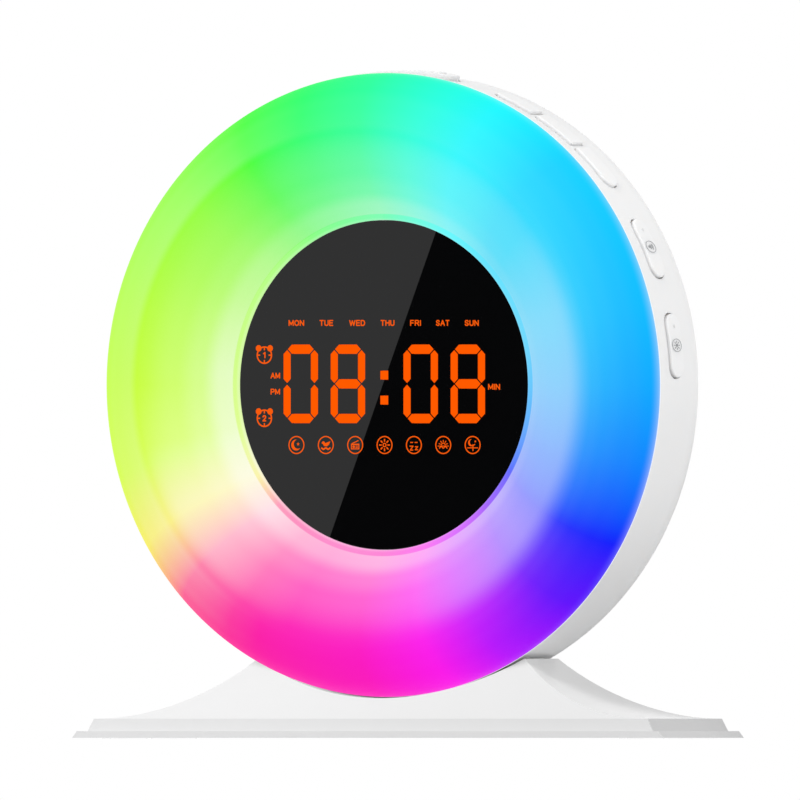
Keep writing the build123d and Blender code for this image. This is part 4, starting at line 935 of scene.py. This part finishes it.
translucency = {
    "Subsurface_Weight": 0.5, "Subsurface_Radius": (1.0, 0.95, 0.9),
    "Subsurface_Scale": 1.5 * mm,
}
housing_white = moulded(
    "housing_white", (0.88, 0.88, 0.882), 0.34, relief=0.004, shade=0.012, Specular_IOR_Level=0.3,
    **translucency,
)
stand_white = moulded(
    "stand_white", (0.89, 0.89, 0.892), 0.22, relief=0.002, shade=0.012, Specular_IOR_Level=0.1
)
assign(housing_white, "rear_housing", "battery_door")
assign(stand_white, "base_shell", "base_plate")
pad_white = moulded("pad_white", (0.86, 0.86, 0.86), 0.85, grain=500.0, relief=0.05, shade=0.12)
assign(pad_white, "saddle_pad")

# ------------------------------------------------------------------ feet
# Four discs of clear silicone, punched from sheet so that their sides are upright, and stuck in
# shallow pockets under the base plate.

feet_low, feet_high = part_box("rubber_feet")
foot_radius = 6 * mm
clear_silicone = moulded(
    "clear_silicone", (0.98, 0.98, 0.98), 0.0, relief=0.0, shade=0.01, Transmission_Weight=1.0,
    IOR=1.41,
)
standing, start, end, keys = shape_tree(
    "punched_feet",
    {
        "Across": "Float", "Along": "Float", "Radius": "Float", "Thickness": "Float",
        "Centre": "Vector", "Finish": "Material",
    },
)
corners = node(
    standing, "GeometryNodeMeshGrid", Vertices_X=2, Vertices_Y=2, Size_X=start.outputs["Across"],
    Size_Y=start.outputs["Along"],
)
foot = node(
    standing, "GeometryNodeMeshCylinder", Vertices=96, Radius=start.outputs["Radius"],
    Depth=start.outputs["Thickness"],
)
placed = node(
    standing, "GeometryNodeInstanceOnPoints", Points=corners.outputs[0], Instance=foot.outputs[0]
)
stood = node(
    standing, "GeometryNodeTransform", Geometry=placed.outputs[0],
    Translation=start.outputs["Centre"],
)
finish_tree(standing, stood.outputs[0], start, end)
clear_feet = shaped(
    "clear_feet", bpy.data.meshes.new("foot_corners"), standing, keys,
    {
        "Across": feet_high.x - feet_low.x - 2 * foot_radius,
        "Along": feet_high.y - feet_low.y - 2 * foot_radius,
        "Radius": foot_radius, "Thickness": feet_high.z - feet_low.z,
        "Centre": (feet_low + feet_high) / 2, "Finish": clear_silicone,
    },
)
clear_feet.data.shade_smooth()
clear_feet.data.set_sharp_from_angle(angle=radians(30))
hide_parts("rubber_feet")
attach(clear_feet, "clock")

# ------------------------------------------------------------------ keys and rockers
# White keys that stand a little proud of the drum's rim. Each rocker carries a metal badge, held by
# a round stud, with an embossed sign, and a small raised plus near its upper end, for up.

key_white = moulded("key_white", (0.9, 0.9, 0.902), 0.3, relief=0.003, shade=0.01, **translucency)
assign(
    key_white, "snooze_bar", "upper_key", "middle_key", "lower_key", "volume_rocker",
    "light_rocker",
)
silver = moulded("silver", (0.86, 0.86, 0.87), 0.4, grain=2400.0, relief=0.004, Metallic=1.0)
assign(silver, "volume_icon_disc", "light_icon_disc")
embossed_metal = moulded(
    "embossed_metal", (0.36, 0.37, 0.38), 0.42, grain=2400.0, relief=0.004, Metallic=1.0
)
key_radius = 82.6 * mm
rocker_low, rocker_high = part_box("volume_rocker")
key_middle_y = (rocker_low.y + rocker_high.y) / 2
rim_sink = 0.04 * mm
badge_rise = 0.08 * mm
sign_rise = 0.13 * mm


def on_rim(name, angle, outlines, rise, body, material):
    """Raised shapes on the rim: outlines in mm, x to the back and z up along the rim."""
    shapes = []
    for outline in outlines:
        layers = []
        for radius in (key_radius + rise, key_radius - rim_sink):
            points = []
            for x, z in outline:
                turn = radians(angle) - z * mm / key_radius
                y = key_middle_y + x * mm
                points.append((radius * sin(turn), y, axis_z + radius * cos(turn)))
            layers.append(points)
        shapes.append(layers)
    piece = capped(name, shapes)
    piece.data.materials.append(material)
    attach(piece, body)


# in mm: the badge is an ellipse, longer from front to back, with a raised line along its edge
badge = [disc(0, 0, 1.85, steps=40, width=5.2)]
badge_edge = [(x * 1.42, z) for x, z in arc(0, 0, 1.66, 0, 180, 24)]
badge_line = [ribbon(badge_edge, 0.13), ribbon([(x, -z) for x, z in badge_edge], 0.13)]
speaker_sign = [
    [(-1.25, -0.3), (-0.65, -0.3), (0.05, -0.8), (0.05, 0.8), (-0.65, 0.3), (-1.25, 0.3)],
    ribbon(arc(0.05, 0, 0.55, -50, 50, 8), 0.22),
    ribbon(arc(0.05, 0, 1.05, -50, 50, 10), 0.22),
]
lamp_rays = rays(0, 0, 0.72, 1.15, 8, 0, 45, 0.2)
lamp_sign = [disc(0, 0, 0.42, width=1.1), *([(x * 1.3, z) for x, z in ray] for ray in lamp_rays)]
mark_z = 5.1
mark_reach = 0.42
up_mark = [
    *pen([(-mark_reach, mark_z), (mark_reach, mark_z)], 0.2),
    *pen([(0, mark_z - mark_reach), (0, mark_z + mark_reach)], 0.2),
]
# each rocker, its middle in degrees from the top, and its sign
for name, angle, sign in (("volume", 63.75, speaker_sign), ("light", 82.7, lamp_sign)):
    body = name + "_button"
    on_rim(name + "_badge", angle, badge, badge_rise, body, silver)
    on_rim(name + "_sign", angle, sign + badge_line, sign_rise, body, embossed_metal)
    on_rim(name + "_up_mark", angle, up_mark, badge_rise, body, key_white)

# ------------------------------------------------------------------ light board
# White board with a circle of coloured LEDs that light the ring from behind. Each is a square
# white package with a low round lens, soldered flat on the board.

board_white = moulded("board_white", (0.82, 0.83, 0.82), 0.35, shade=0.03)
assign(board_white, "led_board")
package_white = moulded("package_white", (0.84, 0.84, 0.8), 0.4, shade=0.02)
package_low, package_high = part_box("ring_leds")
package_depth = package_high.y - package_low.y
led_circle = 63.08 * mm
led_size = 5.0 * mm
led_count = 24
body_share = 0.86               # of the package's depth; its lens stands proud
lens_share = 0.36               # radius of the lens, of the package's width
lens_flatness = 0.3
lens_lift = 0.2                 # of the package's depth

packing, start, end, keys = shape_tree(
    "led_packages",
    {
        "Count": "Int", "Circle": "Float", "Size": "Float", "Depth": "Float", "Centre": "Vector",
        "Lean": "Vector", "Finish": "Material",
    },
)
size, depth = start.outputs["Size"], start.outputs["Depth"]
spots = node(
    packing, "GeometryNodeMeshCircle", Vertices=start.outputs["Count"],
    Radius=start.outputs["Circle"],
)
body_size = node(
    packing, "ShaderNodeCombineXYZ", X=size, Y=size, Z=maths(packing, "MULTIPLY", depth, body_share)
)
body = node(packing, "GeometryNodeMeshCube", Size=body_size.outputs[0])
dome = node(
    packing, "GeometryNodeMeshUVSphere", Segments=20, Rings=10,
    Radius=maths(packing, "MULTIPLY", size, lens_share),
)
lift = node(packing, "ShaderNodeCombineXYZ", Z=maths(packing, "MULTIPLY", depth, lens_lift))
lens = node(
    packing, "GeometryNodeTransform", Geometry=dome.outputs[0], Scale=(1.0, 1.0, lens_flatness),
    Translation=lift.outputs[0],
)
package = packing.nodes.new("GeometryNodeJoinGeometry")
packing.links.new(body.outputs[0], package.inputs[0])
packing.links.new(lens.outputs[0], package.inputs[0])
outwards = packing.nodes.new("GeometryNodeInputPosition")
aim = packing.nodes.new("FunctionNodeAlignEulerToVector")
aim.axis = "X"
aim.pivot_axis = "Z"
packing.links.new(outwards.outputs[0], aim.inputs["Vector"])
placed = node(
    packing, "GeometryNodeInstanceOnPoints", Points=spots.outputs[0], Instance=package.outputs[0],
    Rotation=aim.outputs[0],
)
stood = node(
    packing, "GeometryNodeTransform", Geometry=placed.outputs[0], Rotation=start.outputs["Lean"],
    Translation=start.outputs["Centre"],
)
finish_tree(packing, stood.outputs[0], start, end)
led_packages = shaped(
    "led_packages", bpy.data.meshes.new("led_circle"), packing, keys,
    {
        "Count": led_count, "Circle": led_circle, "Size": led_size, "Depth": package_depth,
        "Lean": (radians(90), 0, 0), "Finish": package_white,
        "Centre": (0, package_high.y - package_depth * body_share / 2, axis_z),
    },
)
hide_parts("ring_leds")
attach(led_packages, "clock")

# ------------------------------------------------------------------ pieces inside
# Chassis and carriers of white polymer, two green boards with their parts, the loudspeaker, the
# power inlet, the backup cell, leads and screws, each with the finish of its own material.

module_white = moulded("module_white", (0.8, 0.8, 0.77), 0.55)
assign(module_white, "front_chassis", "key_carrier", "display_module")
foam_black = moulded("foam_black", (0.03, 0.03, 0.032), 0.9, grain=1500.0, relief=0.06, shade=0.3)
assign(foam_black, "lens_tape", "speaker_gasket")
screw_zinc = moulded("screw_zinc", (0.6, 0.6, 0.61), 0.3, relief=0.006, Metallic=1.0)
assign(
    screw_zinc, "ring_screws", "led_board_screws", "board_screws", "housing_screws",
    "carrier_screws", "speaker_screws", "base_screws", "saddle_screws", "coin_cell",
    "speaker_frame",
)
contact_nickel = moulded("contact_nickel", (0.72, 0.69, 0.62), 0.22, relief=0.003, Metallic=1.0)
assign(contact_nickel, "dc_jack_pin", "cell_contacts")
board_green = moulded("board_green", (0.02, 0.14, 0.06), 0.35, grain=300.0, shade=0.15)
assign(board_green, "main_board", "key_board")
chip_black = moulded("chip_black", (0.02, 0.02, 0.021), 0.5, shade=0.1)
assign(chip_black, "board_chips", "key_switches", "dc_jack")
connector_nylon = moulded("connector_nylon", (0.78, 0.75, 0.66), 0.45)
assign(connector_nylon, "board_connectors")
cone_paper = moulded(
    "cone_paper", (0.035, 0.034, 0.033), 0.85, grain=420.0, relief=0.08, shade=0.25
)
assign(cone_paper, "speaker_cone")
surround_rubber = moulded("surround_rubber", (0.02, 0.02, 0.02), 0.55, shade=0.1)
assign(surround_rubber, "speaker_surround")
magnet_ferrite = moulded(
    "magnet_ferrite", (0.06, 0.058, 0.056), 0.6, grain=700.0, relief=0.03, shade=0.2
)
assign(magnet_ferrite, "speaker_magnet")
for name, colour, leads in (
    ("lead_black", (0.02, 0.02, 0.02), "speaker_leads"),
    ("lead_red", (0.45, 0.03, 0.02), "power_leads"),
    ("lead_white", (0.78, 0.78, 0.76), "key_leads"),
):
    assign(moulded(name, colour, 0.4), leads)
